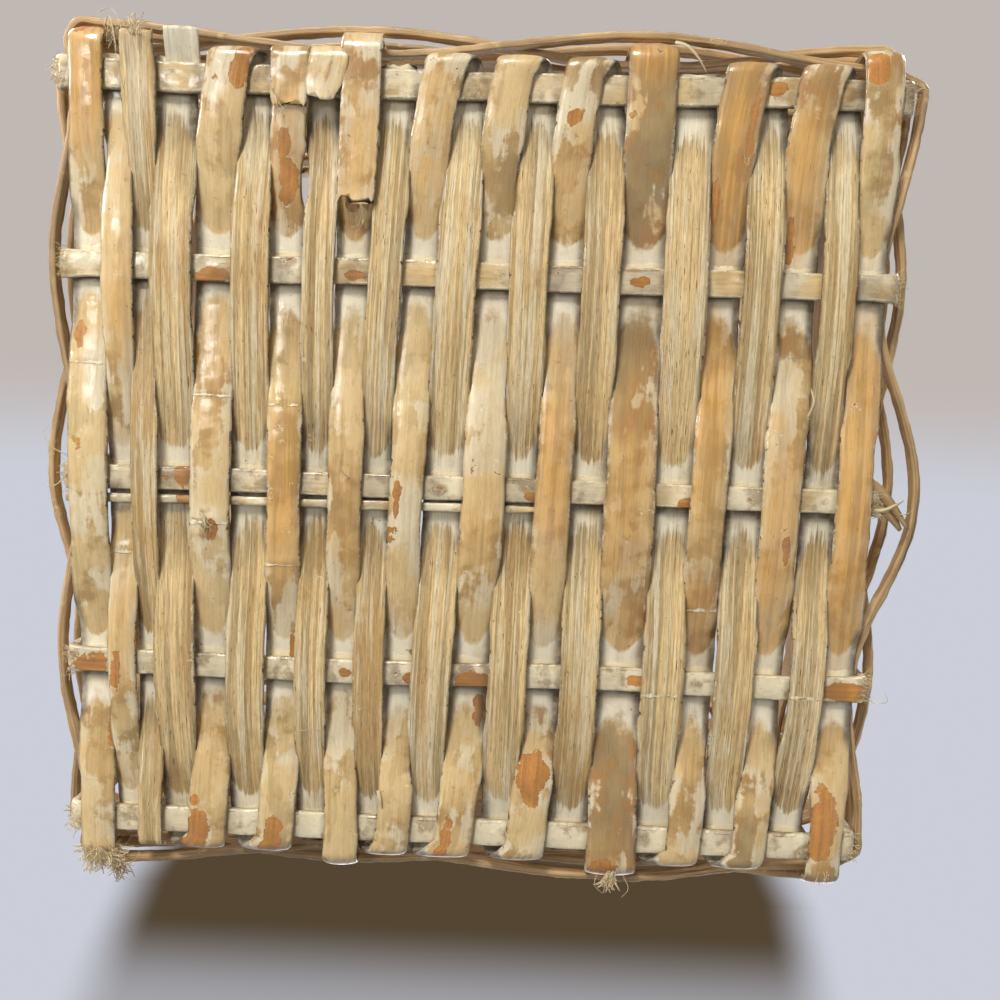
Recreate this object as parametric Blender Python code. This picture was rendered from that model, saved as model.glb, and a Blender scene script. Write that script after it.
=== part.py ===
"""A square wicker storage basket: crossed base, woven walls and a lashed rim.

The base lies on the ground at z = 0 and the mouth opens upward. Rods cross the base along X and
strips cross it along Y. The rods and four of the strips turn up at the edges as the stakes of the
walls, thin splints are woven round the stakes in separate rows, and two hoops lashed together
hold the stakes' ends.
"""
import math

import bpy
import bmesh
from mathutils import Vector

# Driving dimensions, in metres.
CLEARANCE = 0.0003
WEAVE_PLAY = 0.0004

ROD_PITCH = 0.05925
ROD_WIDTH = 0.010
ROD_THICKNESS = 0.0026
ROD_BEND_RADIUS = 0.0034

STRIP_PITCH = 0.01085
STRIP_WIDTH = 0.0115
STRIP_THICKNESS = 0.0020
STRIP_GAP = 0.0007
STAKE_BEND_RADIUS = 0.0050

SPLINT_WIDTH = 0.0050
SPLINT_THICKNESS = 0.0020
SPLINT_GAP_LEFT = 0.0023
SPLINT_REACH = 0.1500

WEAVER_THICKNESS = 0.0024
WEAVER_HEIGHT = 0.0155
ROW_GAP = 0.0005

HOOP_HEIGHT = 0.0120
HOOP_THICKNESS = 0.0030
RIM_CORNER_RADIUS = 0.0060
STAKE_END_INSET = 0.0010
LASHING_WIDTH = 0.0050
LASHING_THICKNESS = 0.0012
LASHING_PITCH = 0.0200

# Counts.
ROD_COUNT = 5
STRIP_COUNT = 23
ROW_COUNT = 12
BEND_STEPS = 4
WRAP_STEPS = 4
CORNER_STEPS = 4

# Each rod's place off its even spacing, as a share of the rod pitch.
ROD_DRIFT = (0.0, -0.05, 0.076, 0.093, 0.0)

# Where each strip crosses the first and the last rod, counted in strip pitches from the middle.
STRIP_HEAD = (-11.0, -10.2, -9.5, -8.6, -7.3, -6.3, -5.4, -4.35, -3.35, -2.35, -1.3, -0.35,
              0.65, 1.6, 2.6, 3.55, 4.7, 5.93, 7.0, 8.05, 9.1, 10.15, 11.0)
STRIP_FOOT = (-11.0, -10.1, -9.4, -8.5, -7.6, -6.5, -5.55, -4.55, -3.65, -2.85, -2.0, -1.15,
              -0.15, 1.15, 2.05, 3.3, 4.6, 5.85, 6.8, 7.9, 8.75, 9.9, 11.0)

# Each strip's breadth as a share of the strip width: canes split by hand are never alike.
STRIP_BREADTH = (0.94, 0.76, 0.78, 1.12, 1.12, 1.04, 0.92, 0.88, 0.93, 0.88, 0.93, 1.06,
                 1.12, 1.0, 1.0, 1.02, 1.32, 1.16, 1.0, 1.04, 1.04, 0.92, 0.94)

# Which strips across the base, counted from 1 at the left, each piece is made of.
STAKES = {"corner_stake_left": 1, "long_stake_left": 9, "long_stake_right": 17, "corner_stake_right": 23}
LOOSE_STRIPS = {"base_filler_strip": 2, "base_folded_strip": 3}
LACINGS = {"base_lacing_left": (4, 8), "base_lacing_middle": (10, 16), "base_lacing_right": (18, 22)}

# Sizes worked out from the ones above.
WEAVE_LIFT = (ROD_THICKNESS + STRIP_THICKNESS) / 2 + CLEARANCE
ROD_Z = WEAVE_LIFT + STRIP_THICKNESS / 2
ROD_SPAN = (ROD_COUNT - 1) * ROD_PITCH
ROD_Y = [ROD_PITCH * (k - (ROD_COUNT - 1) / 2 + ROD_DRIFT[k]) for k in range(ROD_COUNT)]
BASE_EDGE_X = (STRIP_COUNT - 1) / 2 * STRIP_PITCH + STRIP_WIDTH * STRIP_BREADTH[0] / 2
BASE_EDGE_Y = ROD_SPAN / 2 + ROD_WIDTH / 2 + WEAVE_LIFT + STRIP_THICKNESS / 2
SIDE_WALL_X = BASE_EDGE_X + 2 * WEAVE_PLAY + WEAVER_THICKNESS + ROD_THICKNESS / 2
END_WALL_Y = BASE_EDGE_Y + 2 * WEAVE_PLAY + WEAVER_THICKNESS + STRIP_THICKNESS / 2
ROW_PITCH = WEAVER_HEIGHT + ROW_GAP
FIRST_ROW_Z = max(ROD_Z + ROD_BEND_RADIUS, STRIP_THICKNESS / 2 + STAKE_BEND_RADIUS) + CLEARANCE
WEAVE_TOP_Z = FIRST_ROW_Z + ROW_COUNT * ROW_PITCH - ROW_GAP
HOOP_BOTTOM_Z = WEAVE_TOP_Z + 2 * CLEARANCE + LASHING_THICKNESS
HOOP_TOP_Z = HOOP_BOTTOM_Z + HOOP_HEIGHT
STAKE_TOP_Z = HOOP_TOP_Z - STAKE_END_INSET
THICKEST_STAKE = max(ROD_THICKNESS, STRIP_THICKNESS)
HOOP_OFFSET = THICKEST_STAKE / 2 + CLEARANCE + HOOP_THICKNESS / 2

# How far along its way from rod to rod a strip is still clear of its neighbours in height.
CLEAR_SHARE = (1 - (STRIP_THICKNESS + 2 * CLEARANCE) / (2 * WEAVE_LIFT)) / 2

PALE_STRAW = ((0.72, 0.60, 0.41), 0.55)
WHITEWASHED = ((0.78, 0.72, 0.60), 0.60)
TAN_SPLINT = ((0.55, 0.40, 0.24), 0.60)
DARK_SPLINT = ((0.45, 0.31, 0.18), 0.65)


def clear_scene():
    for item in list(bpy.data.objects):
        bpy.data.objects.remove(item, do_unlink=True)


def finish_material(name, finish):
    colour, roughness = finish
    material = bpy.data.materials.new(name)
    material.use_nodes = True
    shader = material.node_tree.nodes["Principled BSDF"]
    shader.inputs["Base Color"].default_value = (*colour, 1.0)
    shader.inputs["Roughness"].default_value = roughness
    shader.inputs["Metallic"].default_value = 0.0
    return material


def mitres(path, closed):
    """Offset vectors that keep a strap's thickness through each corner of a flat path."""
    count = len(path)
    result = []
    for i, point in enumerate(path):
        before = path[i - 1] if closed or i > 0 else None
        after = path[(i + 1) % count] if closed or i < count - 1 else None
        runs = []
        if before is not None:
            runs.append((Vector(point) - Vector(before)).normalized())
        if after is not None:
            runs.append((Vector(after) - Vector(point)).normalized())
        normals = [Vector((-run.y, run.x)) for run in runs]
        middle = sum(normals, Vector((0.0, 0.0))).normalized()
        result.append(middle / middle.dot(normals[0]))
    return result


def strap(name, path, spans, axes, thickness, finish, closed=False):
    """A flat strap: `path` runs in the plane of the first two axes, `spans` is its width range
    along the third axis at each point of the path."""
    order = ["xyz".index(axis) for axis in axes]
    mesh = bpy.data.meshes.new(name)
    body = bmesh.new()
    rings = []
    for point, offset, (low, high) in zip(path, mitres(path, closed), spans):
        ring = []
        for side, reach in ((-1, low), (-1, high), (1, high), (1, low)):
            spot = Vector(point) + offset * (side * thickness / 2)
            place = [0.0, 0.0, 0.0]
            for axis, value in zip(order, (spot.x, spot.y, reach)):
                place[axis] = value
            ring.append(body.verts.new(place))
        rings.append(ring)
    links = list(zip(rings, rings[1:]))
    if closed:
        links.append((rings[-1], rings[0]))
    else:
        body.faces.new(rings[0])
        body.faces.new(rings[-1])
    for near, far in links:
        for k in range(4):
            body.faces.new((near[k], near[(k + 1) % 4], far[(k + 1) % 4], far[k]))
    bmesh.ops.recalc_face_normals(body, faces=body.faces)
    body.to_mesh(mesh)
    body.free()
    item = bpy.data.objects.new(name, mesh)
    bpy.context.scene.collection.objects.link(item)
    mesh.materials.append(finish_material(name, finish))
    return item


def arc(centre, radius, start, end, steps):
    """Points of an arc, angles in degrees."""
    points = []
    for k in range(steps + 1):
        angle = math.radians(start + (end - start) * k / steps)
        points.append((centre[0] + radius * math.cos(angle), centre[1] + radius * math.sin(angle)))
    return points


def strip_centre(number, y):
    """A strip's centre line across the base: straight from its head to its foot."""
    share = min(1.0, max(0.0, (y + ROD_SPAN / 2) / ROD_SPAN))
    head = STRIP_HEAD[number - 1]
    foot = STRIP_FOOT[number - 1]
    return STRIP_PITCH * (head + (foot - head) * share)


def half_width(number):
    return STRIP_WIDTH * STRIP_BREADTH[number - 1] / 2


def full_span(number, y):
    """A strip's edges at y, where it lies on a rod and its neighbours pass on the other side."""
    centre = strip_centre(number, y)
    return centre - half_width(number), centre + half_width(number)


def strip_seam(number, y):
    """The line between a strip and the next one, halfway between their edges."""
    return (full_span(number, y)[1] + full_span(number + 1, y)[0]) / 2


def passing_span(number, y):
    """A strip's edges at y where it passes its neighbours, held clear of theirs."""
    low, high = full_span(number, y)
    if number > 1:
        low = max(low, strip_seam(number - 1, y) + STRIP_GAP / 2)
    if number < STRIP_COUNT:
        high = min(high, strip_seam(number, y) - STRIP_GAP / 2)
    return low, high


def crossing_edges(rod):
    """The stretch of a strip that lies flat across a rod and the splint beside it."""
    low = ROD_Y[rod] - ROD_WIDTH / 2
    high = ROD_Y[rod] + ROD_WIDTH / 2
    if rod == ROD_COUNT // 2:
        high += SPLINT_GAP_LEFT + SPLINT_WIDTH + CLEARANCE
    return low, high


def weave(number):
    """A strip's way over and under the rods: its path as (y, z) and its edges at each point.

    Odd strips pass below the outer rods. A strip is widest across the rods, and narrows between
    them where it passes its neighbours.
    """
    path = []
    spans = []
    for rod in range(ROD_COUNT):
        below = (number + rod) % 2 == 1
        z = ROD_Z - WEAVE_LIFT if below else ROD_Z + WEAVE_LIFT
        low, high = crossing_edges(rod)
        path += [(low, z), (high, z)]
        spans += [full_span(number, low), full_span(number, high)]
        if rod < ROD_COUNT - 1:
            gap = crossing_edges(rod + 1)[0] - high
            rise = 2 * (ROD_Z - z)
            for share in (CLEAR_SHARE, 1 - CLEAR_SHARE):
                y = high + gap * share
                path.append((y, z + rise * share))
                spans.append(passing_span(number, y))
    return path, spans


def make_rods():
    for rod in range(ROD_COUNT):
        bend_x = SIDE_WALL_X - ROD_BEND_RADIUS
        bend_z = ROD_Z + ROD_BEND_RADIUS
        path = [(-SIDE_WALL_X, STAKE_TOP_Z)]
        path += arc((-bend_x, bend_z), ROD_BEND_RADIUS, 180, 270, BEND_STEPS)
        path += arc((bend_x, bend_z), ROD_BEND_RADIUS, 270, 360, BEND_STEPS)
        path.append((SIDE_WALL_X, STAKE_TOP_Z))
        span = (ROD_Y[rod] - ROD_WIDTH / 2, ROD_Y[rod] + ROD_WIDTH / 2)
        strap("base_rod_%d" % (rod + 1), path, [span] * len(path), "xzy", ROD_THICKNESS, WHITEWASHED)


def make_rod_splint():
    """A thin splint beside the middle rod, which closes on it towards the right."""
    near = ROD_Y[ROD_COUNT // 2] + ROD_WIDTH / 2
    path = [(-BASE_EDGE_X, ROD_Z), (-BASE_EDGE_X + SPLINT_REACH, ROD_Z)]
    spans = [(near + gap, near + gap + SPLINT_WIDTH) for gap in (SPLINT_GAP_LEFT, CLEARANCE)]
    strap("rod_splint", path, spans, "xzy", SPLINT_THICKNESS, WHITEWASHED)


def make_stake(name):
    """A strip that crosses the base and turns up at both ends as a stake of the end walls."""
    number = STAKES[name]
    bend_y = END_WALL_Y - STAKE_BEND_RADIUS
    bend_z = STRIP_THICKNESS / 2 + STAKE_BEND_RADIUS
    near = [(-END_WALL_Y, STAKE_TOP_Z)]
    near += arc((-bend_y, bend_z), STAKE_BEND_RADIUS, 180, 270, BEND_STEPS)
    far = arc((bend_y, bend_z), STAKE_BEND_RADIUS, 270, 360, BEND_STEPS)
    far.append((END_WALL_Y, STAKE_TOP_Z))
    path, spans = weave(number)
    path = near + path + far
    spans = [full_span(number, y) for y, z in near] + spans + [full_span(number, y) for y, z in far]
    strap(name, path, spans, "yzx", STRIP_THICKNESS, PALE_STRAW)


def make_filler_strip():
    """A strip whose ends lie inside the first and the last rod."""
    path, spans = weave(LOOSE_STRIPS["base_filler_strip"])
    strap("base_filler_strip", path, spans, "yzx", STRIP_THICKNESS, PALE_STRAW)


def make_folded_strip():
    """A strip whose ends are folded up against the outer rods' edges."""
    number = LOOSE_STRIPS["base_folded_strip"]
    edge_y = ROD_SPAN / 2 + ROD_WIDTH / 2
    near = [(-edge_y - WEAVE_LIFT, ROD_Z + ROD_THICKNESS / 2)]
    near += arc((-edge_y, ROD_Z), WEAVE_LIFT, 180, 270, WRAP_STEPS // 2)
    far = arc((edge_y, ROD_Z), WEAVE_LIFT, 270, 360, WRAP_STEPS // 2)
    far.append((edge_y + WEAVE_LIFT, ROD_Z + ROD_THICKNESS / 2))
    path, spans = weave(number)
    path = near + path[1:-1] + far
    spans = [full_span(number, y) for y, z in near] + spans[1:-1] + [full_span(number, y) for y, z in far]
    strap("base_folded_strip", path, spans, "yzx", STRIP_THICKNESS, PALE_STRAW)


def between(span, other, share):
    """A span that lies a share of the way from one span to another."""
    return tuple(a + (b - a) * share for a, b in zip(span, other))


def make_lacing(name):
    """One strand laced to and fro across the base, wrapped round an outer rod at each turn.

    Even passes run from the first rod to the last inside both, odd passes run back outside them,
    and each wrap leans over to the next pass.
    """
    first, last = LACINGS[name]
    edge_y = ROD_SPAN / 2 + ROD_WIDTH / 2
    path = []
    spans = []
    for number in range(first, last + 1):
        way, edges = weave(number)
        if number % 2:
            way.reverse()
            edges.reverse()
        if number > first:
            edges[0] = lean(number, number - 1, way[0][0])
        if number < last:
            edges[-1] = lean(number, number + 1, way[-1][0])
        path += way
        spans += edges
        if number < last:
            end = 1 if number % 2 == 0 else -1
            turn = arc((end * edge_y, ROD_Z), WEAVE_LIFT, 90, 90 - 180 * end, WRAP_STEPS)
            if end < 0:
                turn.reverse()
            for k, spot in enumerate(turn[1:-1], start=1):
                share = 0.25 + 0.5 * k / WRAP_STEPS
                here = full_span(number, end * edge_y)
                there = full_span(number + 1, end * edge_y)
                path.append(spot)
                spans.append(between(here, there, share))
    strap(name, path, spans, "yzx", STRIP_THICKNESS, PALE_STRAW)


def lean(number, towards, y):
    """A pass's span at the rod's edge, a quarter of the way over to the pass that it wraps to."""
    return between(full_span(number, y), full_span(towards, y), 0.25)


def stake_posts():
    """The stakes round the walls in order, each as (centre, outward normal, half width, half
    thickness), starting at the first rod's left end and going along +Y."""
    half_rod = ROD_WIDTH / 2
    ends = list(STAKES.values())
    posts = [((-SIDE_WALL_X, y), (-1, 0), half_rod, ROD_THICKNESS / 2) for y in ROD_Y]
    for number in ends:
        low, high = full_span(number, END_WALL_Y)
        centre = ((low + high) / 2, END_WALL_Y)
        posts.append((centre, (0, 1), (high - low) / 2, STRIP_THICKNESS / 2))
    posts += [((SIDE_WALL_X, y), (1, 0), half_rod, ROD_THICKNESS / 2) for y in reversed(ROD_Y)]
    for number in reversed(ends):
        low, high = full_span(number, -END_WALL_Y)
        centre = ((low + high) / 2, -END_WALL_Y)
        posts.append((centre, (0, -1), (high - low) / 2, STRIP_THICKNESS / 2))
    return posts


def weaver_path(first_side):
    """One closed row of the walls: it passes each stake on the side away from the last one."""
    posts = stake_posts()
    wrap = WEAVE_PLAY + WEAVER_THICKNESS / 2
    path = []
    count = len(posts)
    for i, (centre, normal, half_width, half_thick) in enumerate(posts):
        side = first_side * (-1) ** i
        out = Vector(normal)
        along = Vector((-out.y, out.x)) * -1
        line = Vector(centre) + out * (side * (half_thick + wrap))
        start = line - along * half_width
        end = line + along * half_width
        before = posts[i - 1]
        after = posts[(i + 1) % count]
        if before[1] != normal and side > 0:
            corner = Vector(centre) - along * half_width + out * half_thick
            path += wrapped_corner(corner, wrap, -along, out)
        path += [tuple(start), tuple(end)]
        if after[1] != normal and side > 0:
            corner = Vector(centre) + along * half_width + out * half_thick
            path += wrapped_corner(corner, wrap, out, along)[1:]
        if after[1] == normal:
            path += crossing_over(end, after, -side, wrap, along)
    return tidy_loop(path)


def wrapped_corner(corner, radius, start, end):
    """Points of a quarter turn round a stake's edge, from one direction to another."""
    points = []
    for k in range(CORNER_STEPS):
        angle = math.pi / 2 * k / CORNER_STEPS
        points.append(tuple(corner + radius * (start * math.cos(angle) + end * math.sin(angle))))
    return points


def crossing_over(end, after, side, wrap, along):
    """Two points that round the weaver's way from one side of the stakes to the other."""
    centre, normal, half_width, half_thick = after
    target = Vector(centre) + Vector(normal) * (side * (half_thick + wrap)) - along * half_width
    points = []
    for share, blend in ((0.3, 0.2), (0.7, 0.8)):
        straight = end + along * (target - end).dot(along) * share
        across = (target - end) - along * (target - end).dot(along)
        points.append(tuple(straight + across * blend))
    return points


def tidy_loop(path):
    """The loop without points that repeat the one before them."""
    kept = []
    for point in path:
        if not kept or (Vector(point) - Vector(kept[-1])).length > CLEARANCE / 3:
            kept.append(point)
    if (Vector(kept[0]) - Vector(kept[-1])).length <= CLEARANCE / 3:
        kept.pop()
    return kept


def make_weaver_rows():
    for row in range(ROW_COUNT):
        path = weaver_path(-1 if row % 2 == 0 else 1)
        low = FIRST_ROW_Z + row * ROW_PITCH
        finish = TAN_SPLINT if row % 2 == 0 else DARK_SPLINT
        strap("weaver_row_%02d" % (row + 1), path, [(low, low + WEAVER_HEIGHT)] * len(path), "xyz",
              WEAVER_THICKNESS, finish, closed=True)


def rim_loop(offset):
    """A rounded rectangle round the stakes' ends, moved out by `offset`."""
    radius = RIM_CORNER_RADIUS + offset
    x = SIDE_WALL_X - RIM_CORNER_RADIUS
    y = END_WALL_Y - RIM_CORNER_RADIUS
    path = []
    for centre, start in (((x, y), 0), ((-x, y), 90), ((-x, -y), 180), ((x, -y), 270)):
        path += arc(centre, radius, start, start + 90, CORNER_STEPS)
    return path


def make_hoops():
    span = (HOOP_BOTTOM_Z, HOOP_TOP_Z)
    for name, side in (("rim_inner_hoop", -1), ("rim_outer_hoop", 1)):
        path = rim_loop(side * HOOP_OFFSET)
        strap(name, path, [span] * len(path), "xyz", HOOP_THICKNESS, WHITEWASHED, closed=True)


def make_lashing(name, wall, direction, axes, places):
    """A splint wound round both hoops along one wall, passing under them between the stakes."""
    reach = HOOP_OFFSET + HOOP_THICKNESS / 2 + CLEARANCE + LASHING_THICKNESS / 2
    bottom = HOOP_BOTTOM_Z - CLEARANCE - LASHING_THICKNESS / 2
    top = HOOP_TOP_Z + CLEARANCE + LASHING_THICKNESS / 2
    middle = (bottom + top) / 2
    inner = direction * (wall - reach)
    outer = direction * (wall + reach)
    turns = []
    for low, high in zip(places, places[1:]):
        count = max(1, round((high - low) / LASHING_PITCH))
        turns += [low + (high - low) * (k + 0.5) / count for k in range(count)]
    path = [(inner, middle)]
    along = [turns[0] - LASHING_WIDTH / 2]
    step = LASHING_WIDTH / 4
    for here, there in zip(turns, turns[1:] + [turns[-1] + LASHING_WIDTH * 2]):
        path += [(inner, bottom), (outer, bottom)]
        along += [here - step, here + step]
        if there > turns[-1]:
            break
        half = (here + there) / 2
        path += [(outer, top), (inner, top)]
        along += [half - step, half + step]
    path.append((outer, middle))
    along.append(turns[-1] + LASHING_WIDTH / 2)
    spans = [(s - LASHING_WIDTH / 2, s + LASHING_WIDTH / 2) for s in along]
    strap(name, path, spans, axes, LASHING_THICKNESS, DARK_SPLINT)


def make_lashings():
    make_lashing("rim_lashing_left", SIDE_WALL_X, -1, "xzy", ROD_Y)
    make_lashing("rim_lashing_right", SIDE_WALL_X, 1, "xzy", ROD_Y)
    for name, direction in (("rim_lashing_front", -1), ("rim_lashing_back", 1)):
        places = [strip_centre(number, direction * END_WALL_Y) for number in STAKES.values()]
        make_lashing(name, END_WALL_Y, direction, "yzx", places)


def build():
    clear_scene()
    make_rods()
    make_rod_splint()
    for name in STAKES:
        make_stake(name)
    make_filler_strip()
    make_folded_strip()
    for name in LACINGS:
        make_lacing(name)
    make_weaver_rows()
    make_hoops()
    make_lashings()


build()
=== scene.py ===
"""The looks of a square wicker storage basket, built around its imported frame.

The basket stands on its base at z = 0 with its mouth up. The photograph looks up at the base from
below, so image right is +X and image down is +Y. Sizes are in metres, unless a comment says
millimetres.
"""

import math

import bpy
import numpy as np
from mathutils import Matrix, Vector


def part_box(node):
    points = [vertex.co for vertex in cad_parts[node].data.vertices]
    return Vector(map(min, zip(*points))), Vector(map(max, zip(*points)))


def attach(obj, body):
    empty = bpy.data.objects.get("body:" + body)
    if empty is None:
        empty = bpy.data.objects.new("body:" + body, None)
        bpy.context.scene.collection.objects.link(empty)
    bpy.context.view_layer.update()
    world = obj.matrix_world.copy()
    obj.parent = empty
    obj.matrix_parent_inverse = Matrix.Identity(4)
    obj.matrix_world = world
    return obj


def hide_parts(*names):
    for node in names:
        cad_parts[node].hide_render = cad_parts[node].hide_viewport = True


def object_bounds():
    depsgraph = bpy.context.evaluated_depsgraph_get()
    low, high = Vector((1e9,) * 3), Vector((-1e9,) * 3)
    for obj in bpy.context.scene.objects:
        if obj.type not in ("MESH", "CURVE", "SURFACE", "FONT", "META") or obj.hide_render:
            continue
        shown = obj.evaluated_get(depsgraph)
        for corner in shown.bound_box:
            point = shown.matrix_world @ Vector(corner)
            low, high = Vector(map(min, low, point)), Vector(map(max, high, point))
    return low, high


bl_info = {
    "name": "Wicker storage basket",
    "version": (1, 0, 0),
    "blender": (4, 5, 0),
    "location": "View3D > Sidebar > Basket",
    "description": "Builds a whitewashed wicker storage basket around its packed frame",
    "category": "Add Mesh",
}

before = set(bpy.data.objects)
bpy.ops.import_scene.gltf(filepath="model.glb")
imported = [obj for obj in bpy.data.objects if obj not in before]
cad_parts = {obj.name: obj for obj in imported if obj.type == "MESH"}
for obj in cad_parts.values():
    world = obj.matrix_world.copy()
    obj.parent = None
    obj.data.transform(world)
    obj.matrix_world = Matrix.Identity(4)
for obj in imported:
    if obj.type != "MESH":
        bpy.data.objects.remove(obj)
CAD_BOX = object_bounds()

MM = 0.001
ROD_NAMES = ["base_rod_%d" % k for k in range(1, 6)]
STAKES = {"corner_stake_left": 1, "long_stake_left": 9, "long_stake_right": 17, "corner_stake_right": 23}
LACINGS = {"base_lacing_left": (4, 8), "base_lacing_middle": (10, 16), "base_lacing_right": (18, 22)}
ROW_COUNT = 12
STRIP_COUNT = 23

# Where each strip crosses the first and the last rod, in strip pitches from the middle, and its
# width at the first, the middle and the last rod, in millimetres.
STRIP_HEAD = (-11.0, -10.2, -9.5, -8.6, -7.3, -6.3, -5.4, -4.35, -3.35, -2.35, -1.3, -0.35,
              0.65, 1.6, 2.6, 3.55, 4.7, 5.93, 7.0, 8.05, 9.1, 10.15, 11.0)
STRIP_FOOT = (-11.0, -10.1, -9.4, -8.5, -7.6, -6.5, -5.55, -4.55, -3.65, -2.85, -2.0, -1.15,
              -0.15, 1.15, 2.05, 3.3, 4.6, 5.85, 6.8, 7.9, 8.75, 9.9, 11.0)
STRIP_WIDTHS = (
    (10, 12, 10.5), (9.5, 9, 8.5), (10, 8, 7.8), (12.5, 13, 13), (13, 12.7, 12.3), (11.7, 11.9, 12),
    (10.9, 10.3, 11.4), (10, 9.7, 9.5), (12, 10.3, 10.9), (10.4, 10, 9.8), (12, 10.3, 10.9),
    (11.8, 12.4, 13), (12.5, 13, 12), (11.4, 12, 12.6), (12.2, 10.6, 12.6), (11.4, 12, 12.3),
    (14.4, 15.4, 16), (13.2, 13.4, 13.5), (13, 11.2, 11), (11.4, 12.2, 12.9), (12.6, 11.5, 10.6),
    (10.2, 10.4, 10.6), (11.2, 11, 10.8))

# How far each strip sways from its straight line where it passes the middle rod, in millimetres.
STRIP_SWAY = (-1.5, -1, -0.5, -1.5, -1, -1, 0.5, -1.5, -1.5, -2, -2, 0, 1.5, 0, 1, 0, 0, 0, 0, 0.5, 1, 2, 1)

# How deep the colour of each strip is, from pale straw at 0 to brown at 1.
STRIP_TONE = (0.35, 0.2, 0.25, 0.35, 0.40, 0.2, 0.55, 0.15, 0.45, 0.35, 0.4, 0.10, 0.30, 0.25, 0.5, 0.35,
              0.95, -0.10, 0.70, 0.2, 0.62, 0.2, 0.50)

# Bare patches on the skin, each as strip, place from its middle line, place along the base, half
# length and half breadth, in millimetres.
BARE_SPOTS = (
    (1, -2, -133, 4, 3.4), (1, -3, -40, 5, 2), (1, 5, 88, 6, 2), (5, 4, -120, 5, 3), (5, -3, 121, 8, 4),
    (5, -4.5, 110, 2, 1.5), (7, -1, -100, 5, 2.2), (7, 0.5, -88, 7, 3), (7, -0.5, 120, 6, 3.2),
    (9, -1.5, -82, 2, 2), (13, -2.6, 120, 7, 2.4), (13, 4, 77, 6, 2), (15, -0.5, 98, 9, 5),
    (15, -0.5, -109, 2, 2), (17, -2, 128, 4, 5), (19, 4, -108, 12, 1.6), (19, -4, -84, 10, 1.4),
    (23, -2, -125, 4, 4.5), (23, -2, 110, 12, 4.5), (5, 1, 20, 4, 2), (7, 3, 58, 5, 1.2),
    (11, -3, 8, 6, 1.3), (21, 3, 20, 5, 1.3), (21, -3, -76, 8, 1.6), (2, -2, 67, 7, 2))

# Amber stains, in the same order, with the strength last.
AMBER_SPOTS = (
    (1, 0, -116, 20, 6, 1.0), (1, 0, -60, 30, 6, 0.35), (1, 0, 100, 30, 6, 0.2), (5, 0, -30, 40, 6, 0.35),
    (5, 0, 100, 30, 7, 0.15), (7, 0, 10, 30, 6, 0.9), (7, 0, -95, 25, 6, 0.6), (9, 0, -95, 25, 7, 0.5),
    (9, 0, 20, 30, 6, 0.35), (11, 0, -100, 25, 8, 0.5), (13, 0, 10, 35, 7, 0.45), (13, 2, 100, 30, 7, 0.25),
    (15, 0, -5, 40, 6, 0.85), (2, 1, -50, 24, 5, 0.7), (2, 0, 50, 26, 5, 0.5), (15, 0, -90, 20, 6, 0.35),
    (17, -1, -128, 8, 8, 1.0), (17, 0, 10, 40, 8, 0.6), (17, 0, 125, 12, 8, 0.3), (19, 0, -95, 34, 6, 1.0),
    (19, -2, -25, 32, 6, 0.95), (19, 0, 38, 24, 6, 0.6), (19, 0, 100, 20, 6, 0.35),
    (21, -1, -90, 28, 6, 0.95), (21, 0, 20, 40, 6, 0.8), (23, 0, 0, 62, 8, 1.0), (23, 0, 105, 25, 7, 0.35),
    (3, 0, 110, 20, 5, 0.4))

# Bare patches on the rods, each as rod, place from its middle line, place along it, half length and
# half breadth, in millimetres.
ROD_SPOTS = (
    (1, -1, 88, 4, 2), (2, 2.5, -81, 6, 2.6), (2, 1.5, -38, 3.5, 1.6), (2, 0, 50, 3.5, 1.7),
    (3, -2, -91, 2.5, 4.5), (3, 2, 68, 2.5, 2.4), (3, 2, 20, 3, 1.6), (4, 0, -39, 2, 1.6),
    (4, 1, -18, 2, 2), (4, 2, 3, 6, 3), (4, 0, 55, 3, 2), (4, 1.5, -121, 6, 4.5), (4, 1, 122, 10, 3),
    (5, 1, -60, 3, 2))

# Open slits, each between a strip and the next one, as strip, place along the base, half length and
# breadth in millimetres.
SLITS = (
    (7, -88, 9, 3.0), (5, -14, 9, 1.3), (7, 5, 11, 1.4), (13, -100, 8, 1.0), (22, -30, 8, 1.2),
    (9, 48, 8, 0.9), (19, 92, 7, 0.9), (1, -95, 10, 1.6), (11, 95, 8, 1.0))

# How slim each rod is beside the room that it has.
ROD_SLIMNESS = (0.88, 0.82, 0.76, 0.80, 0.88)

# How thick the white paint lies on each rod, and how dirty it is.
ROD_PAINT = (0.28, 0.48, 0.52, 0.72, 0.95)
ROD_DIRT = (0.45, 0.36, 0.34, 0.26, 0.16)

# Nodes of the cane, as strip and place along the base in millimetres.
JOINTS = ((1, -33), (7, -22), (7, 29), (2, 27), (19, 39), (18, 67), (22, 66), (5, -24), (15, 62), (5, 16))

# How much further the thin splints of the low row stand out, by the upright's place round the walls.
HIGH_SWELL = {3: 1.1, 11: 2.4, 13: 1.1}
LOW_SWELL = {1: 1.3, 3: 1.4, 11: 3.9, 13: 1.3, 15: 1.25}
MIDDLE_SWELL = {2: 2.6, 10: 1.4, 12: 1.3, 16: 1.35}


def middle(name, axis):
    low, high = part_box(name)
    return (low[axis] + high[axis]) / 2


# Sizes read from the frame.
ROD_Y = [middle(name, 1) for name in ROD_NAMES]
ROD_LOW, ROD_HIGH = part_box("base_rod_1")
ROD_HALF = (ROD_HIGH.y - ROD_LOW.y) / 2
BASE_EDGE = ROD_Y[4] + ROD_HALF
SIDE_REACH = ROD_HIGH.x
STAKE_TOP = ROD_HIGH.z
END_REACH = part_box("long_stake_left")[1].y
HOOP_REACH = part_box("rim_outer_hoop")[1].x
SPLINT_LOW, SPLINT_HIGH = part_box("rod_splint")

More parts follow.
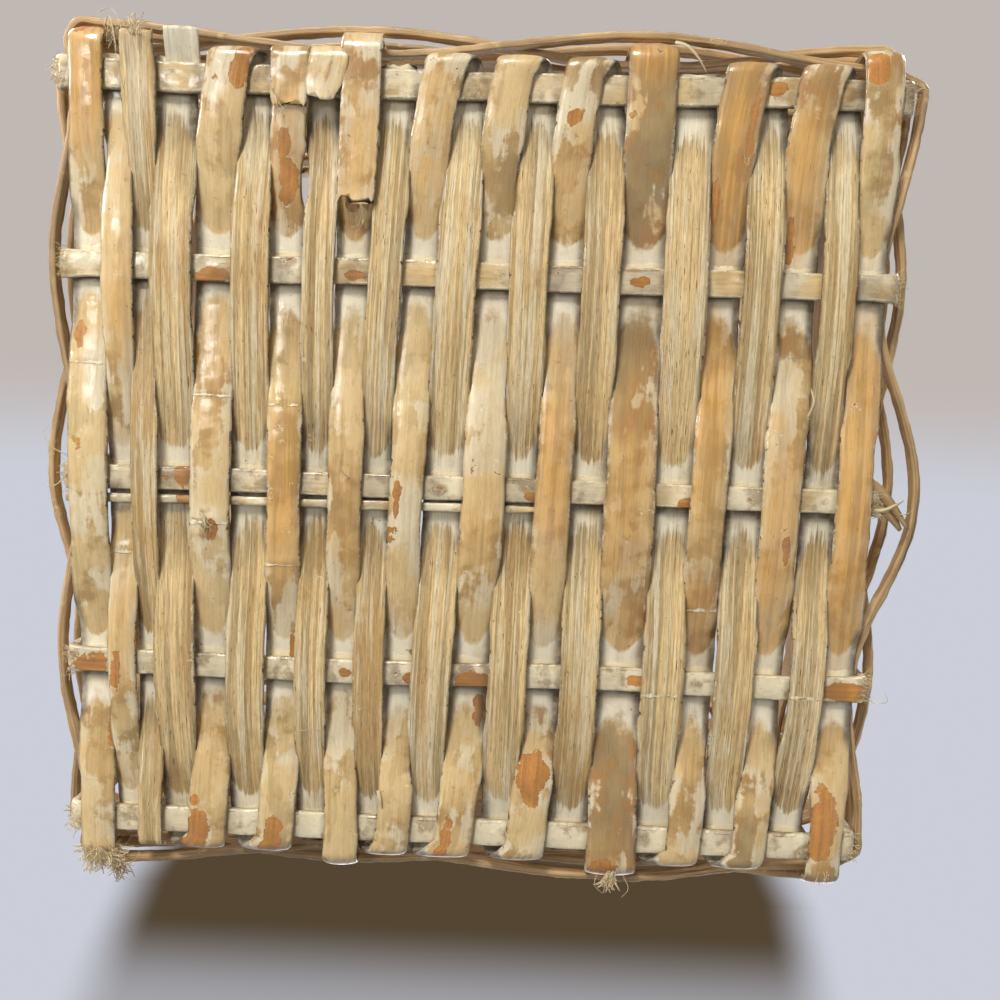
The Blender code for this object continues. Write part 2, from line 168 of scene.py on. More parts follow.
# Sizes of the bends and of the rim, and the step between the sections of an upright.
END_BEND = 0.0052
SIDE_BEND = 0.0036
UPRIGHT_STEP = 0.0016
RIM_CORNER = 0.006
HOOP_THICKNESS = 0.0030
LASHING_THICKNESS = 0.0012
LASHING_WIDTH = 0.0050

# Frayed places, each as a middle, the way its fibres point, and its half breadths, in millimetres.
FRAYED_RODS = [(side * 128, y / MM, 4.0, side, 0, -0.7, 4.6, 2.4) for side in (-1, 1) for y in ROD_Y]
FRAYED_STRIPS = (
    (-104, -129.5, 0.8, 0, -1, -0.3, 4.0, 1.2), (-61.5, -111.5, -0.2, 0, 0.8, -0.6, 3.4, 0.5),
    (-35, -79.5, -0.2, 0, 0.9, -0.5, 4.0, 0.5), (-118, 129.5, 0.6, 0.1, 0.8, -0.6, 5.4, 1.6),
    (-114, 133.5, 3.0, 0.6, 0.7, -0.6, 4.2, 2.6), (-118, 127, 0.0, 0.5, 0.9, -0.1, 4.4, 2.2),
    (-115, 129, 0.6, 0.7, 0.8, -0.1, 4.0, 2.4), (-122, 131, 1.6, 0.2, 0.8, -0.5, 3.0, 2.0),
    (-122, 128, 2.0, -0.8, 0.4, -0.6, 3.0, 2.0), (50, 130.5, 2.4, 0, 1, -0.5, 6.0, 1.4),
    (-83, 17, 0.1, -0.2, 0.6, -0.8, 2.0, 1.6), (119, 126, 3.0, 0.4, 0.8, -0.5, 3.0, 1.6),
    (-111.5, -128, 5.0, 0.3, -0.6, -0.7, 3.0, 3.0))

# Single fibres, splinters and the torn end of the middle rod, each as points in millimetres.
STRAY_FIBRES = (
    ((-62, 92, 0.0), (-56, 86, -1.2), (-48, 83.5, -1.6), (-42, 86, -1.0), (-41, 90, -0.4)),
    ((-114, -131, 2.0), (-112, -134, 0.5), (-110, -129, -0.6), (-109, -120, -0.8), (-107, -112, -0.3)),
    ((-113, -130, 3.0), (-115, -135, 1.0), (-111, -136, 0.0), (-108, -132, -0.5)),
    ((-108, -122, 4.0), (-106, -117, 1.0), (-107.5, -110, 0.4)),
    ((131, 6, 5.0), (135, 7.5, 4.0), (138.5, 7.0, 3.4), (140, 4.5, 3.2)),
    ((128, 66, 2.6), (133, 69, 2.0), (136, 68, 1.6), (135, 65, 1.6)),
    ((-128, -2, 2.8), (-133, -5, 2.2), (-135, -9, 2.0), (-133, -12, 2.2)),
    ((-128, 4, 2.8), (-133, 8, 2.4), (-137, 7, 2.4)),
    ((-118, 129, 0.6), (-112, 133, 0.0), (-107, 131, 0.0), (-105, 127, 0.6)),
    ((-117, 129, 1.0), (-113, 136, 0.6), (-108, 139, 0.6)),
    ((46, 129, 1.0), (45, 134, 0.8), (48, 137, 0.8)), ((54, 130, 1.0), (56, 135, 0.6), (54, 138, 0.6)),
    ((38, -6, 0.0), (41, -3, -0.8), (42.5, 3, -0.6)), ((-38, 2, 0.0), (-41, -2, -1.0), (-40, -8, -0.4)),
    ((127, -118, 3.0), (132, -121, 2.6), (134, -118, 2.6)))
SPLINTERS = (
    ((57.0, -132.0, 2.6), (60, -130.5, 0.2), (63.5, -127, -0.6), (66.5, -123, 0.4)),
    ((-27, 104, 0.2), (-26.2, 107, -0.6), (-25.6, 110, 0.2)),
    ((104, -22, 0.6), (105, -27, -0.9), (104, -31, 0.2)),
    ((-85.2, 14, 0.3), (-83.0, 17, -0.8), (-84.0, 21, 0.4)),
    ((127, 6.5, 1.8), (130, 6.0, 0.8), (133, 4.5, 1.0), (136, 3.0, 2.4)))
TORN_END = (
    ((120, -4.5, 4.6), (127.5, -0.5, 3.6), (133.5, 5.5, 3.8), (139, 12.5, 4.6)),
    ((121, -1, 5.4), (128, 3.5, 4.8), (133.5, 8.5, 5.0), (137, 13, 5.6)))


def length_value(name, default, description):
    return bpy.props.FloatProperty(name=name, description=description, default=default, unit="LENGTH")


def colour_value(name, default, description):
    return bpy.props.FloatVectorProperty(name=name, description=description, default=default,
                                         subtype="COLOR")


class BasketCane(bpy.types.PropertyGroup):
    """Sizes of the canes and splints."""

    rod_thickness: length_value("Rod thickness", 0.0026, "Thickness of the rods across the base")
    strip_thickness: length_value("Strip thickness", 0.0020, "Thickness of the strips along the base")
    strip_pitch: length_value("Strip pitch", 0.01085, "Mean spacing of the strips")
    tuck: length_value("Tuck", 0.0010, "How far two strips' edges overlap where they pass each other")
    play: length_value("Play", 0.0003, "Room between two canes that cross")
    weaver_thickness: length_value(
        "Weaver thickness", 0.0024, "Thickness of the splints woven round the walls")
    weaver_height: length_value("Weaver height", 0.0155, "Height of one woven row")
    row_swing: length_value(
        "Row swing", 0.0033, "How far a weaver's middle stands off the stakes' middle")
    wrap_bulge: length_value(
        "Wrap bulge", 0.0029, "How far a wrap's middle stands out past an outer rod")
    station: length_value("Station step", 0.0008, "Spacing of the cross-sections along a cane")


class BasketFinish(bpy.types.PropertyGroup):
    """Colours of the canes, the old paint, the dirt and painted shade, and the stage."""

    straw: colour_value("Pith straw", (0.63, 0.463, 0.226), "The fibrous inner side of the cane")
    cream: colour_value("Cream skin", (0.68, 0.498, 0.238), "Varnished skin under a thin old wash")
    tan: colour_value("Tan skin", (0.54, 0.340, 0.125), "Varnished skin where the wash is worn thin")
    gold: colour_value("Golden stain", (0.62, 0.330, 0.080), "Amber varnish gathered on the skin")
    bare: colour_value(
        "Bare cane", (0.53, 0.225, 0.042), "Orange-brown cane where the paint has flaked off")
    chalk: colour_value("Chalky wash", (0.80, 0.70, 0.475), "White paint gathered in the crossings")
    # The grime colour also lays the painted shade in the recesses between the canes and under the rods.
    grime_and_shade: colour_value("Grime", (0.085, 0.055, 0.030), "Dirt in pores, splits and corners")
    splint: colour_value("Wall splint", (0.46, 0.30, 0.14), "The tan-brown splints of the walls")
    floor: colour_value("Floor", (0.60, 0.60, 0.62), "The plain pale floor")
    board: colour_value("Tabletop", (0.74, 0.78, 0.86), "The plain pale tabletop")
    table: colour_value("Table", (0.60, 0.62, 0.695), "The pale backdrop on the table's side")
    shadow: colour_value("Shadow", (0.088, 0.061, 0.033), "The backdrop in the basket's shadow")
    wall: colour_value("Wall", (0.53, 0.48, 0.455), "The pale backdrop on the other side")


def cane():
    return bpy.context.scene.basket_cane


def finish():
    return bpy.context.scene.basket_finish


# Curves and noise.

def smooth(t):
    t = np.clip(t, 0.0, 1.0)
    return t * t * (3 - 2 * t)


def past(value, start, width):
    """0 where a value is below `start`, 1 from `width` further on, and eased between."""
    return smooth((value - start) / width)


def wander(along, spacing, reach, seed):
    """Smooth random values along a cane, with knots `spacing` apart."""
    start = along.min()
    count = int((along.max() - start) / spacing) + 3
    knots = np.random.default_rng(seed).uniform(-1, 1, count)
    place = (along - start) / spacing
    index = np.floor(place).astype(int)
    share = smooth(place - index)
    return reach * (knots[index] * (1 - share) + knots[index + 1] * share)


def soften(values, reach):
    """Values at even stations, eased over `reach` stations to each side."""
    offsets = np.arange(-2 * reach, 2 * reach + 1)
    weights = np.exp(-0.5 * (offsets / reach) ** 2)
    padded = np.pad(values, 2 * reach, mode="edge")
    return np.convolve(padded, weights / weights.sum(), mode="valid")


def arc(centre, reach_u, reach_v, start, end):
    """Points along an arc or a stretch of an ellipse, angles in degrees."""
    length = math.radians(abs(end - start)) * max(reach_u, reach_v)
    count = max(6, int(length / (0.6 * cane().station)) + 1)
    angles = np.radians(np.linspace(start, end, count))
    return np.column_stack([centre[0] + reach_u * np.cos(angles), centre[1] + reach_v * np.sin(angles)])


def line(start, end, step):
    return np.linspace(start, end, max(2, int(math.dist(start, end) / step) + 1))


def lengths(path):
    steps = np.linalg.norm(np.diff(path, axis=0), axis=1)
    return np.concatenate([[0.0], np.cumsum(steps)])


def distinct(path):
    """Which points of a path stand apart from the one before."""
    return np.concatenate([[True], np.diff(lengths(path)) > 1e-6])


def pulled(t, here, there, pull_here, pull_there):
    """The place at share t on a curve from here to there that starts and ends along its pulls."""
    return ((2 * t ** 3 - 3 * t ** 2 + 1) * here + (t ** 3 - 2 * t ** 2 + t) * pull_here
            + (3 * t ** 2 - 2 * t ** 3) * there + (t ** 3 - t ** 2) * pull_there)


def unit(vectors):
    return vectors / np.linalg.norm(vectors, axis=-1, keepdims=True)


# Pieces.

def add_object(name, data):
    item = bpy.data.objects.new(name, data)
    bpy.context.scene.collection.objects.link(item)
    return item


def add_mesh(name, vertices, edges, faces):
    mesh = bpy.data.meshes.new(name)
    mesh.from_pydata(np.array(vertices, float).tolist(), edges, faces)
    return mesh


def settle(item, material, slot, *nodes):
    """Gives a piece its material and its body, and hides the frame nodes that it stands for. The slot is not
    used.
    """
    item.data.materials.clear()
    item.data.materials.append(material)
    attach(item, "root")
    if nodes:
        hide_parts(*nodes)
    return item


# Straps: the one form that every cane, rod and lashing of the basket has.

SKIN_ACROSS = (-1.0, -0.955, -0.86, -0.72, -0.54, -0.36, -0.18, 0.0,
               0.18, 0.36, 0.54, 0.72, 0.86, 0.955, 1.0)
PITH_ACROSS = (0.985, 0.88, 0.7, 0.5, 0.3, 0.1, -0.1, -0.3, -0.5, -0.7, -0.88, -0.985)
WAVES = (0.013, 0.0062)


def section_shape(crown):
    """Across places, heights and side of a split cane's section: domed skin, flat pith."""
    across = np.array(SKIN_ACROSS + PITH_ACROSS)
    skin = np.arange(len(across)) < len(SKIN_ACROSS)
    dome = 0.5 - crown * np.abs(across) ** 2.6 - 0.16 * past(np.abs(across), 0.93, 0.07)
    flat = -0.5 + 0.10 * (1 - across ** 2) + 0.12 * past(np.abs(across), 0.90, 0.09)
    return across, np.where(skin, dome, flat), skin


def strap(name, path, axes, centre, left, right, thickness, seed, fields, crown=0.38, relief=0.00004,
          ragged=(0.0, 0.0)):
    """A strap laid along a flat path.

    `path` runs in the plane of the first two of `axes`, with the cane's skin on its left side.
    `centre` is the strap's middle along the third axis, `left` and `right` its half widths and
    `thickness` its thickness, one value a station. `fields` gives the wear and the kind of every
    point, and `ragged` says how long the teeth of the two ends are.
    """
    along = lengths(path)
    tangent = unit(np.gradient(path, along, axis=0))
    lean = np.arctan(np.gradient(centre, along))[:, None]
    across, height, skin = section_shape(crown)
    rows, columns = len(path), len(across)
    reach = np.where(across < 0, left[:, None], right[:, None]) * across
    shift = along[:, None] - reach * np.sin(lean)
    for end, size in enumerate(ragged):
        if size:
            distance = along[-1] - along if end else along
            teeth = np.random.default_rng(seed + 90 + end).uniform(-1, 1, columns) * size
            shift = shift + smooth(1 - distance / (3 * size))[:, None] * teeth
    beyond = np.minimum(shift - along[0], 0) + np.maximum(shift - along[-1], 0)
    normals = [np.interp(shift, along, values) for values in (-tangent[:, 1], tangent[:, 0])]
    rng = np.random.default_rng(seed)
    bumps = np.zeros((rows, columns))
    for scale in WAVES:
        wave = rng.uniform(0, 2 * math.pi, 3)
        bumps += relief * (scale / WAVES[0]) ** 0.7 * np.sin(
            2 * math.pi * along[:, None] / scale + wave[0] + 1.4 * np.sin(across * 3 + wave[1])
            + 2.0 * np.sin(along[:, None] / (scale * 2.3) + wave[2]))
    lift = height * thickness[:, None] + bumps * np.where(skin, 1.0, 0.5)
    points = np.zeros((rows, columns, 3))
    points[:, :, "xyz".index(axes[2])] = centre[:, None] + reach * np.cos(lean)
    for k, normal in enumerate(normals):
        way = np.where(shift < along[0], tangent[0, k], tangent[-1, k])
        points[:, :, "xyz".index(axes[k])] = (
            np.interp(shift, along, path[:, k]) + beyond * way + normal / np.hypot(*normals) * lift)

    index = np.arange(rows * columns).reshape(rows, columns)
    turned = np.roll(index, -1, axis=1)
    quads = np.stack([index[:-1], turned[:-1], turned[1:], index[1:]], axis=-1).reshape(-1, 4)
    mesh = add_mesh(name, points.reshape(-1, 3), [],
                    quads.tolist() + [index[0][::-1].tolist(), index[-1].tolist()])
    flat = points.reshape(-1, 3) - points.reshape(-1, 3).mean(axis=0)
    a, b, c, d = (flat[quads[:, k]] for k in range(4))
    if (np.cross(a, b) * c).sum() + (np.cross(a, c) * d).sum() < 0:
        mesh.flip_normals()

    # The strap's own map: U runs along it and V across it, in metres, skin and pith apart.
    u = along[:, None] + (seed * 0.137) % 5.0 + 0 * reach
    v = reach + np.where(skin, 0.0, 0.05) + (seed * 0.0731) % 3.0
    corners = np.empty(len(mesh.loops), dtype=np.int32)
    mesh.loops.foreach_get("vertex_index", corners)
    flat = np.stack([u, v], axis=-1).reshape(-1, 2)[corners]
    mesh.uv_layers.new(name="lay").data.foreach_set("uv", flat.astype(np.float32).ravel())
    for word, parts in zip(("wear", "kind"), fields(reach, across[None, :], skin[None, :])):
        values = np.stack([np.broadcast_to(part, reach.shape) for part in parts], axis=-1)
        layer = mesh.color_attributes.new(word, "FLOAT_COLOR", "POINT")
        layer.data.foreach_set("color", np.clip(values, 0.0, 1.0).astype(np.float32).ravel())
    mesh.shade_smooth()
    return add_object("wicker_" + name, mesh)


# The base weave.

def weave_lift():
    return (cane().rod_thickness + cane().strip_thickness) / 2 + cane().play


def rod_level():
    return weave_lift() + cane().strip_thickness / 2


def side_wall():
    return SIDE_REACH - cane().rod_thickness / 2


def end_wall():
    return END_REACH - cane().strip_thickness / 2


def crossing(rod):
    """The stretch of a strip that lies on a rod, and for the middle rod on its splint as well."""
    low, high = ROD_Y[rod] - 0.6 * ROD_HALF, ROD_Y[rod] + 0.6 * ROD_HALF
    return low, SPLINT_HIGH.y - 0.3 * ROD_HALF if rod == 2 else high


def side_of(number, y):
    """Where a strip lies at y: -1 outside the rods, 1 inside them, and between the two on its way."""
    places = np.ravel([crossing(rod) for rod in range(5)])
    sides = np.repeat([-1.0 if (number + rod) % 2 else 1.0 for rod in range(5)], 2)
    index = np.clip(np.searchsorted(places, y) - 1, 0, len(places) - 2)
    share = np.clip((y - places[index]) / (places[index + 1] - places[index]), 0, 1)
    return sides[index] + (sides[index + 1] - sides[index]) * (1 - np.cos(math.pi * share)) / 2


def strip_line(number, y):
    """A strip's middle line across the base, without the leans towards its neighbours."""
    share = np.clip((y - ROD_Y[0]) / (ROD_Y[4] - ROD_Y[0]), 0, 1)
    head, foot = STRIP_HEAD[number - 1], STRIP_FOOT[number - 1]
    sway = STRIP_SWAY[number - 1] * MM * np.sin(math.pi * share)
    return cane().strip_pitch * (head + (foot - head) * share) + sway


def strip_half(number, y=0.0):
    return np.interp(y, (ROD_Y[0], ROD_Y[2], ROD_Y[4]), STRIP_WIDTHS[number - 1]) * MM / 2


def seam_line(number, y):
    """The line between a strip and the next one, halfway between their edges."""
    high = strip_line(number, y) + strip_half(number, y)
    low = strip_line(number + 1, y) - strip_half(number + 1, y)
    return (high + low) / 2 + wander(y, 0.011, 0.00030, 700 + number)


def strip_reach(number, y, side, towards):
    """A strip's half width on one side, held back from the seam where it passes its neighbour."""
    seed = 40 * number + towards
    uneven = sum((wander(y, spacing, size, seed + extra) for spacing, size, extra in
                  ((0.023, 0.06, 3), (0.0042, 0.026, 11), (0.0018, 0.030, 13))), 1)
    full = strip_half(number, y) * uneven
    full = full * (1.03 + 0.20 * (1 - past(np.abs(side), 0.35, 0.45)) + 0.07 * smooth(side))
    first = min(number, number + towards)
    if not 1 <= first < STRIP_COUNT:
        return full
    notch = 0.0002 * smooth(wander(y, 0.019, 1.0, seed + 17)) - 0.5 * cane().tuck
    for slit, place, half_length, gap in SLITS:
        if slit == first:
            notch = notch + 0.5 * gap * MM * smooth(1.4 - np.abs(y - place * MM) / (half_length * MM))
    limit = np.abs(seam_line(first, y) - strip_line(number, y)) - notch
    free = past(np.abs(side), 0.42, 0.34)
    return full * free + np.minimum(full, limit) * (1 - free)


class Run:
    """One strand's stations in order: path, middle line, half widths, strip number, side and y."""

    def __init__(self):
        self.pieces = []

    def add(self, path, *values):
        whole = np.ones(len(path))
        self.pieces.append([path] + [value * whole for value in values])

    def close(self, backwards=False):
        """Joins the pieces. Backwards, the strand's skin is turned to the other side."""
        joined = [np.concatenate(values) for values in zip(*self.pieces)]
        keep = distinct(joined[0])
        path, centre, left, right, number, side, y = (values[keep] for values in joined)
        order = slice(None, None, -1 if backwards else 1)
        self.path, self.centre, self.left, self.right, self.number, self.side, self.y = (
            values[order] for values in (path, soften(centre, 3), soften(left, 2), soften(right, 2),
                                         number, side, y))
        return self


def add_pass(run, number, forward, lean_head=0.0, lean_foot=0.0):
    """One way across the base. The leans are shares of the way over to the strips it wraps to."""
    y = np.linspace(-BASE_EDGE, BASE_EDGE, int(2 * BASE_EDGE / cane().station) + 1)
    side = side_of(number, y)
    centre = strip_line(number, y) + wander(y, 0.05, 0.0004, 900 + number)
    for lean, distance in ((lean_head, y + BASE_EDGE), (lean_foot, BASE_EDGE - y)):
        centre = centre + lean * cane().strip_pitch * np.clip(1 - distance / 0.030, 0, 1) ** 2
    tuck = 0.00022 * (1 if number % 2 else -1) * (1 - side ** 2)
    path = np.column_stack([y, rod_level() + weave_lift() * side + tuck])
    order = slice(None, None, 1 if forward else -1)
    run.add(path[order], centre[order], strip_reach(number, y, side, -1)[order],
            strip_reach(number, y, side, 1)[order], number, side[order], y[order])


def add_wrap(run, number, end, share_out, share_back):
    """The turn round an outer rod from one pass to the next, at the last rod (1) or the first (-1)."""
    edge = end * BASE_EDGE
    path = arc((edge, rod_level()), cane().wrap_bulge, weave_lift(), 90, 90 - 180 * end)[::end]
    t = np.linspace(0, 1, len(path))
    here, there = strip_line(number, edge), strip_line(number + 1, edge)
    here_half, there_half = strip_half(number, edge), strip_half(number + 1, edge)
    centre = here + (there - here) * (share_out + (1 - share_out - share_back) * t)
    half = 1.06 * (here_half + (there_half - here_half) * t)
    run.add(path, centre, half, half, number if number % 2 else number + 1, end * np.cos(math.pi * t), edge)


def spot_field(numbers, places, reach, spots):
    """How far each point lies inside the nearest of the listed patches, 1 at its middle."""
    field = np.zeros(reach.shape)
    for number, across, place, half_length, half_breadth, *force in spots:
        rows = numbers == number
        if rows.any():
            far = ((places[rows, None] - place * MM) / (half_length * MM)) ** 2
            wide = ((reach[rows] - across * MM) / (half_breadth * MM)) ** 2
            inside = (force or [1.0])[0] * np.clip(1 - 0.5 * (far + wide), 0, 1)
            field[rows] = np.maximum(field[rows], inside)
    return field


def joint_swell(run, shift, breadth):
    """How near each station lies to a node of the cane, 1 on it."""
    swell = np.zeros(len(run.y))
    for number, place in JOINTS:
        swell += np.where(run.number == number, np.exp(-((run.y - place * MM - shift) / breadth) ** 2), 0.0)
    return swell


def strip_fields(run, seed):
    """What gives a strip's wear (bare, painted, amber, ridge) and kind (skin, tone, dirt and painted shade,
    edge).
    """
    def fields(reach, across, skin):
        side, y, outward = run.side[:, None], run.y, np.abs(across)
        apart = np.array([y - rod for rod in ROD_Y])
        near = np.abs(apart).min(axis=0)[:, None]
        after = (np.take_along_axis(apart, np.abs(apart).argmin(axis=0)[None, :], 0)[0] > 0)[:, None]
        along = lengths(run.path)

        def drift(spacing, size, extra):
            return wander(along, spacing, size, seed + extra)[:, None]

        crest, deep = past(-side, 0.6, 0.4), past(side, -0.1, 0.8)
        edge, aside = past(outward, 0.74, 0.2), past(outward, 0.40, 0.45)
        bend = 0.0062 * outward ** 1.5 + drift(0.004, 0.0008, 21)
        recess = deep * (1 - past(near, 0.0055 + 0.0125 * aside, 0.0065))
        worn = 0.10 * crest + 0.12 * smooth(drift(0.03, 1.0, 5))
        bare = np.maximum(spot_field(run.number, y, reach, BARE_SPOTS), worn) * skin
        deposit = np.where(after, past(side, -0.5, 0.8), deep) * (
            1 - past(near, np.where(after, 0.0060, 0.0052) + bend, np.where(after, 0.0150, 0.0080)))
        painted = (0.35 * recess * (1 - 0.7 * aside) + np.where(after, 0.62, 0.80) * deposit
                   + 0.30 * edge * (1 - crest * 0.5) + drift(0.019, 0.18, 8) + 0.06)
        amber = spot_field(run.number, y, reach, AMBER_SPOTS) * skin
        ridge = deep * np.where(after, 0.30, 1.0) * (1 - past(near, 0.92 * ROD_HALF, 0.0014))
        rings = joint_swell(run, 0.0016, 0.0007)[:, None]
        # head marks the end towards the first rod, where the tone and the dirt part are deepened as a
        # painted shade of that end.
        head = past(-y, 0.104, 0.02)[:, None]
        tone = np.array(STRIP_TONE)[np.clip(run.number.astype(int) - 1, 0, STRIP_COUNT - 1)][:, None]
        tone = tone + 0.22 * head + drift(0.034, 0.26, 7) + drift(0.012, 0.12, 9)
        # The dirt part is mostly painted shade: along each strip's edges, most where it lies deep, in the
        # recesses beside the rods, just past each rod on its +Y side, patchily where a strip lies deep, and
        # towards the first rod.
        dirt_and_shade = ((0.42 + 0.55 * past(side, -0.6, 0.6)) * past(outward, 0.85, 0.12)
                + np.where(after, 1.0, 0.85) * recess * aside
                + after * deep * (1 - past(near, 0.85 * ROD_HALF, 0.0024))
                + 0.25 * deep * smooth(drift(0.024, 1.0, 6)) + 0.10 * head)
        return ((bare, painted, amber, np.maximum(ridge, 0.7 * rings)),
                (skin, tone, dirt_and_shade, past(outward, 0.76, 0.18)))
    return fields


def lay_strip(name, run, seed, material, slot, ragged=(0.0, 0.0)):
    thick = (cane().strip_thickness * (1 + wander(lengths(run.path), 0.03, 0.05, seed + 1))
             + 0.0005 * joint_swell(run, 0.0, 0.0013))
    item = strap(name, run.path, "yzx", run.centre, run.left, run.right, thick, seed,
                 strip_fields(run, seed), ragged=ragged)
    return settle(item, material, slot, name)


def make_stake(name, number, seed, material):
    """A strip that crosses the base and turns up at both ends as a stake of the end walls."""
    wall, level = end_wall(), cane().strip_thickness / 2
    run = Run()
    for end in (-1, 1):
        edge = end * (wall - END_BEND)
        upright = line((end * wall, STAKE_TOP), (end * wall, level + END_BEND), UPRIGHT_STEP)
        climb = upright[:, 1]
        drift = wander(climb, 0.05, 0.0007, seed + 30 + end) * smooth(climb / 0.03)
        slim = 1 - 0.12 * climb / STAKE_TOP + wander(climb, 0.02, 0.04, seed + 33 + end)
        slim = strip_half(number, edge) * slim
        bend = arc((edge, level + END_BEND), END_BEND, END_BEND, 180 if end < 0 else 360, 270)
        flat = line((edge, level), (end * BASE_EDGE, level), cane().station)
        here, half = strip_line(number, edge), strip_half(number, edge) * 1.04
        parts = [(upright, strip_line(number, end * wall) + drift, slim, slim, number, -1.0, end * wall),
                 (bend, here, half, half, number, -1.0, np.clip(bend[:, 0], -wall, wall)),
                 (flat, here, half, half, number, -1.0, flat[:, 0])]
        if end > 0:
            add_pass(run, number, True)
            parts = [[part[::-1] if np.ndim(part) else part for part in values] for values in parts[::-1]]
        for values in parts:
            run.add(*values)
    return lay_strip(name, run.close(backwards=True), seed, material, "stake_cane")


def make_lacing(name, first, last, seed, material):
    """One strand laced to and fro, wrapped round an outer rod at each turn."""
    run = Run()
    for number in range(first, last + 1):
        if number % 2:
            add_pass(run, number, False, 0.26, -0.08)
        else:
            add_pass(run, number, True, -0.26 if number > first else 0.0, 0.16 if number < last else 0.0)
        if number < last:
            add_wrap(run, number, *((-1, 0.26, 0.26) if number % 2 else (1, 0.16, 0.08)))
    return lay_strip(name, run.close(), seed, material, "strip_cane", ragged=(0.0012, 0.0012))


def make_filler(material):
    run = Run()
    add_pass(run, 2, True)
    run.close(backwards=True)
    return lay_strip("base_filler_strip", run, 812, material, "strip_cane", ragged=(0.0008, 0.0015))


def make_folded(material):
    """A strip whose ends are folded up against the outer rods' edges."""
    run = Run()
    half = strip_half(3, -BASE_EDGE)
    low = rod_level() - weave_lift()
    curl = 0.0018
    head = np.vstack([arc((-BASE_EDGE - 0.0050, low + curl), curl, curl, 190, 270),
                      line((-BASE_EDGE - 0.0048, low), (-BASE_EDGE, low), cane().station)])
    run.add(head, strip_line(3, -BASE_EDGE) - 0.0008, half, half, 3, -1.0, -BASE_EDGE)
    add_pass(run, 3, True)
    foot = arc((BASE_EDGE, rod_level()), weave_lift(), weave_lift(), 270, 360)
    half = strip_half(3, BASE_EDGE)
    run.add(foot, strip_line(3, BASE_EDGE), half, half, 3, -1.0, BASE_EDGE)
    return lay_strip("base_folded_strip", run.close(), 431, material, "strip_cane", ragged=(0.0012, 0.0003))


# The rods.

def rod_fields(rod, x, z, seed):
    """What gives a rod's wear and kind, with the same parts as a strip's."""
    def fields(reach, across, skin):
        def drift(spacing, size, extra):
            return wander(x, spacing, size, seed + extra)[:, None]

        outward = np.abs(across)
        on_base = smooth((0.012 - z) / 0.006)[:, None]
        spots = spot_field(np.full(len(x), rod), x, reach, ROD_SPOTS)
        over = np.zeros((len(x), 1))
        for number in range(2 - rod % 2, STRIP_COUNT + 1, 2):
            gap = np.abs(x - strip_line(number, ROD_Y[rod - 1])) - strip_half(number, ROD_Y[rod - 1])
            over = np.maximum(over, 1 - smooth(gap / 0.0022)[:, None])
        painted = (ROD_PAINT[rod - 1] + drift(0.009, 0.30, 8) - 0.25 * (1 - on_base)
                   + 0.25 * past(outward, 0.72, 0.2))
        # The dirt part is partly painted shade, beside the strips that cross the rod and at its very edges,
        # and partly random dirt.
        dirt_and_shade = (0.40 * over * on_base + ROD_DIRT[rod - 1] * smooth(drift(0.007, 1.0, 12))
                + 0.25 * past(outward, 0.93, 0.07))
        amber = 0.25 * (1 - on_base) + 0.25 * smooth(drift(0.03, 1.0, 2))
        return ((np.maximum(spots * on_base, 0.14 * (1 - over)), painted, amber,
                 0.55 * past(outward, 0.70, 0.2) * on_base),
                (skin, 0.30 + drift(0.02, 0.35, 7), dirt_and_shade, 0.5 * past(outward, 0.80, 0.18)))
    return fields


def make_rod(rod, material):
    """A split rod across the base, turned up at both ends as a stake of the side walls."""
    seed = 60 + rod
    wall, level = side_wall(), rod_level()
    ends = [np.vstack([line((end * wall, STAKE_TOP), (end * wall, level + SIDE_BEND), UPRIGHT_STEP)[:-1],
                       arc((end * (wall - SIDE_BEND), level + SIDE_BEND), SIDE_BEND, SIDE_BEND,
                           180 if end < 0 else 360, 270)]) for end in (-1, 1)]
    flat = line((wall - SIDE_BEND, level), (SIDE_BEND - wall, level), cane().station)
    path = np.vstack([ends[1], flat[1:-1], ends[0][::-1]])
    along = lengths(path)
    rise = path[:, 1] - level
    centre = ROD_Y[rod - 1] + wander(along, 0.06, 0.0007, seed) * (1 - 0.5 * smooth(rise / 0.02))
    knob = smooth(1 - np.abs(rise - 0.001) / 0.005) * past(np.abs(path[:, 0]), wall - 0.008, 0.005)
    half = ROD_HALF * ROD_SLIMNESS[rod - 1] * (1 + wander(along, 0.03, 0.06, seed + 1)
                                               + wander(along, 0.006, 0.02, seed + 3)) * (1 + 0.10 * knob)
    thick = cane().rod_thickness * (1 + wander(along, 0.02, 0.04, seed + 4) + 0.12 * knob)
    item = strap(ROD_NAMES[rod - 1], path, "xzy", soften(centre, 3), half, half[::-1], thick, seed,
                 rod_fields(rod, path[:, 0], path[:, 1], seed), crown=0.14, relief=0.00008)
    return settle(item, material, "whitewashed_rod", ROD_NAMES[rod - 1])


def make_rod_splint(material):
    """A thin splint beside the middle rod, which closes on it towards the right."""
    path = line((SPLINT_HIGH.x, rod_level()), (SPLINT_LOW.x - 0.004, rod_level()), cane().station)
    share = (path[:, 0] - path[-1, 0]) / (path[0, 0] - path[-1, 0])
    half = 0.0014 * (1 - 0.45 * past(share, 0.8, 0.2)) + wander(path[:, 0], 0.01, 0.00015, 5)
    near = ROD_Y[2] + ROD_HALF * ROD_SLIMNESS[2]
    centre = near + 0.0018 + 0.0009 * (1 - share) + wander(path[:, 0], 0.04, 0.0002, 9)
    item = strap("rod_splint", path, "xzy", centre, half, half, np.full(len(path), 0.0019), 77,
                 rod_fields(3, path[:, 0], path[:, 1], 77), crown=0.2, ragged=(0.002, 0.0))
    return settle(item, material, "whitewashed_rod", "rod_splint")


# Node trees.

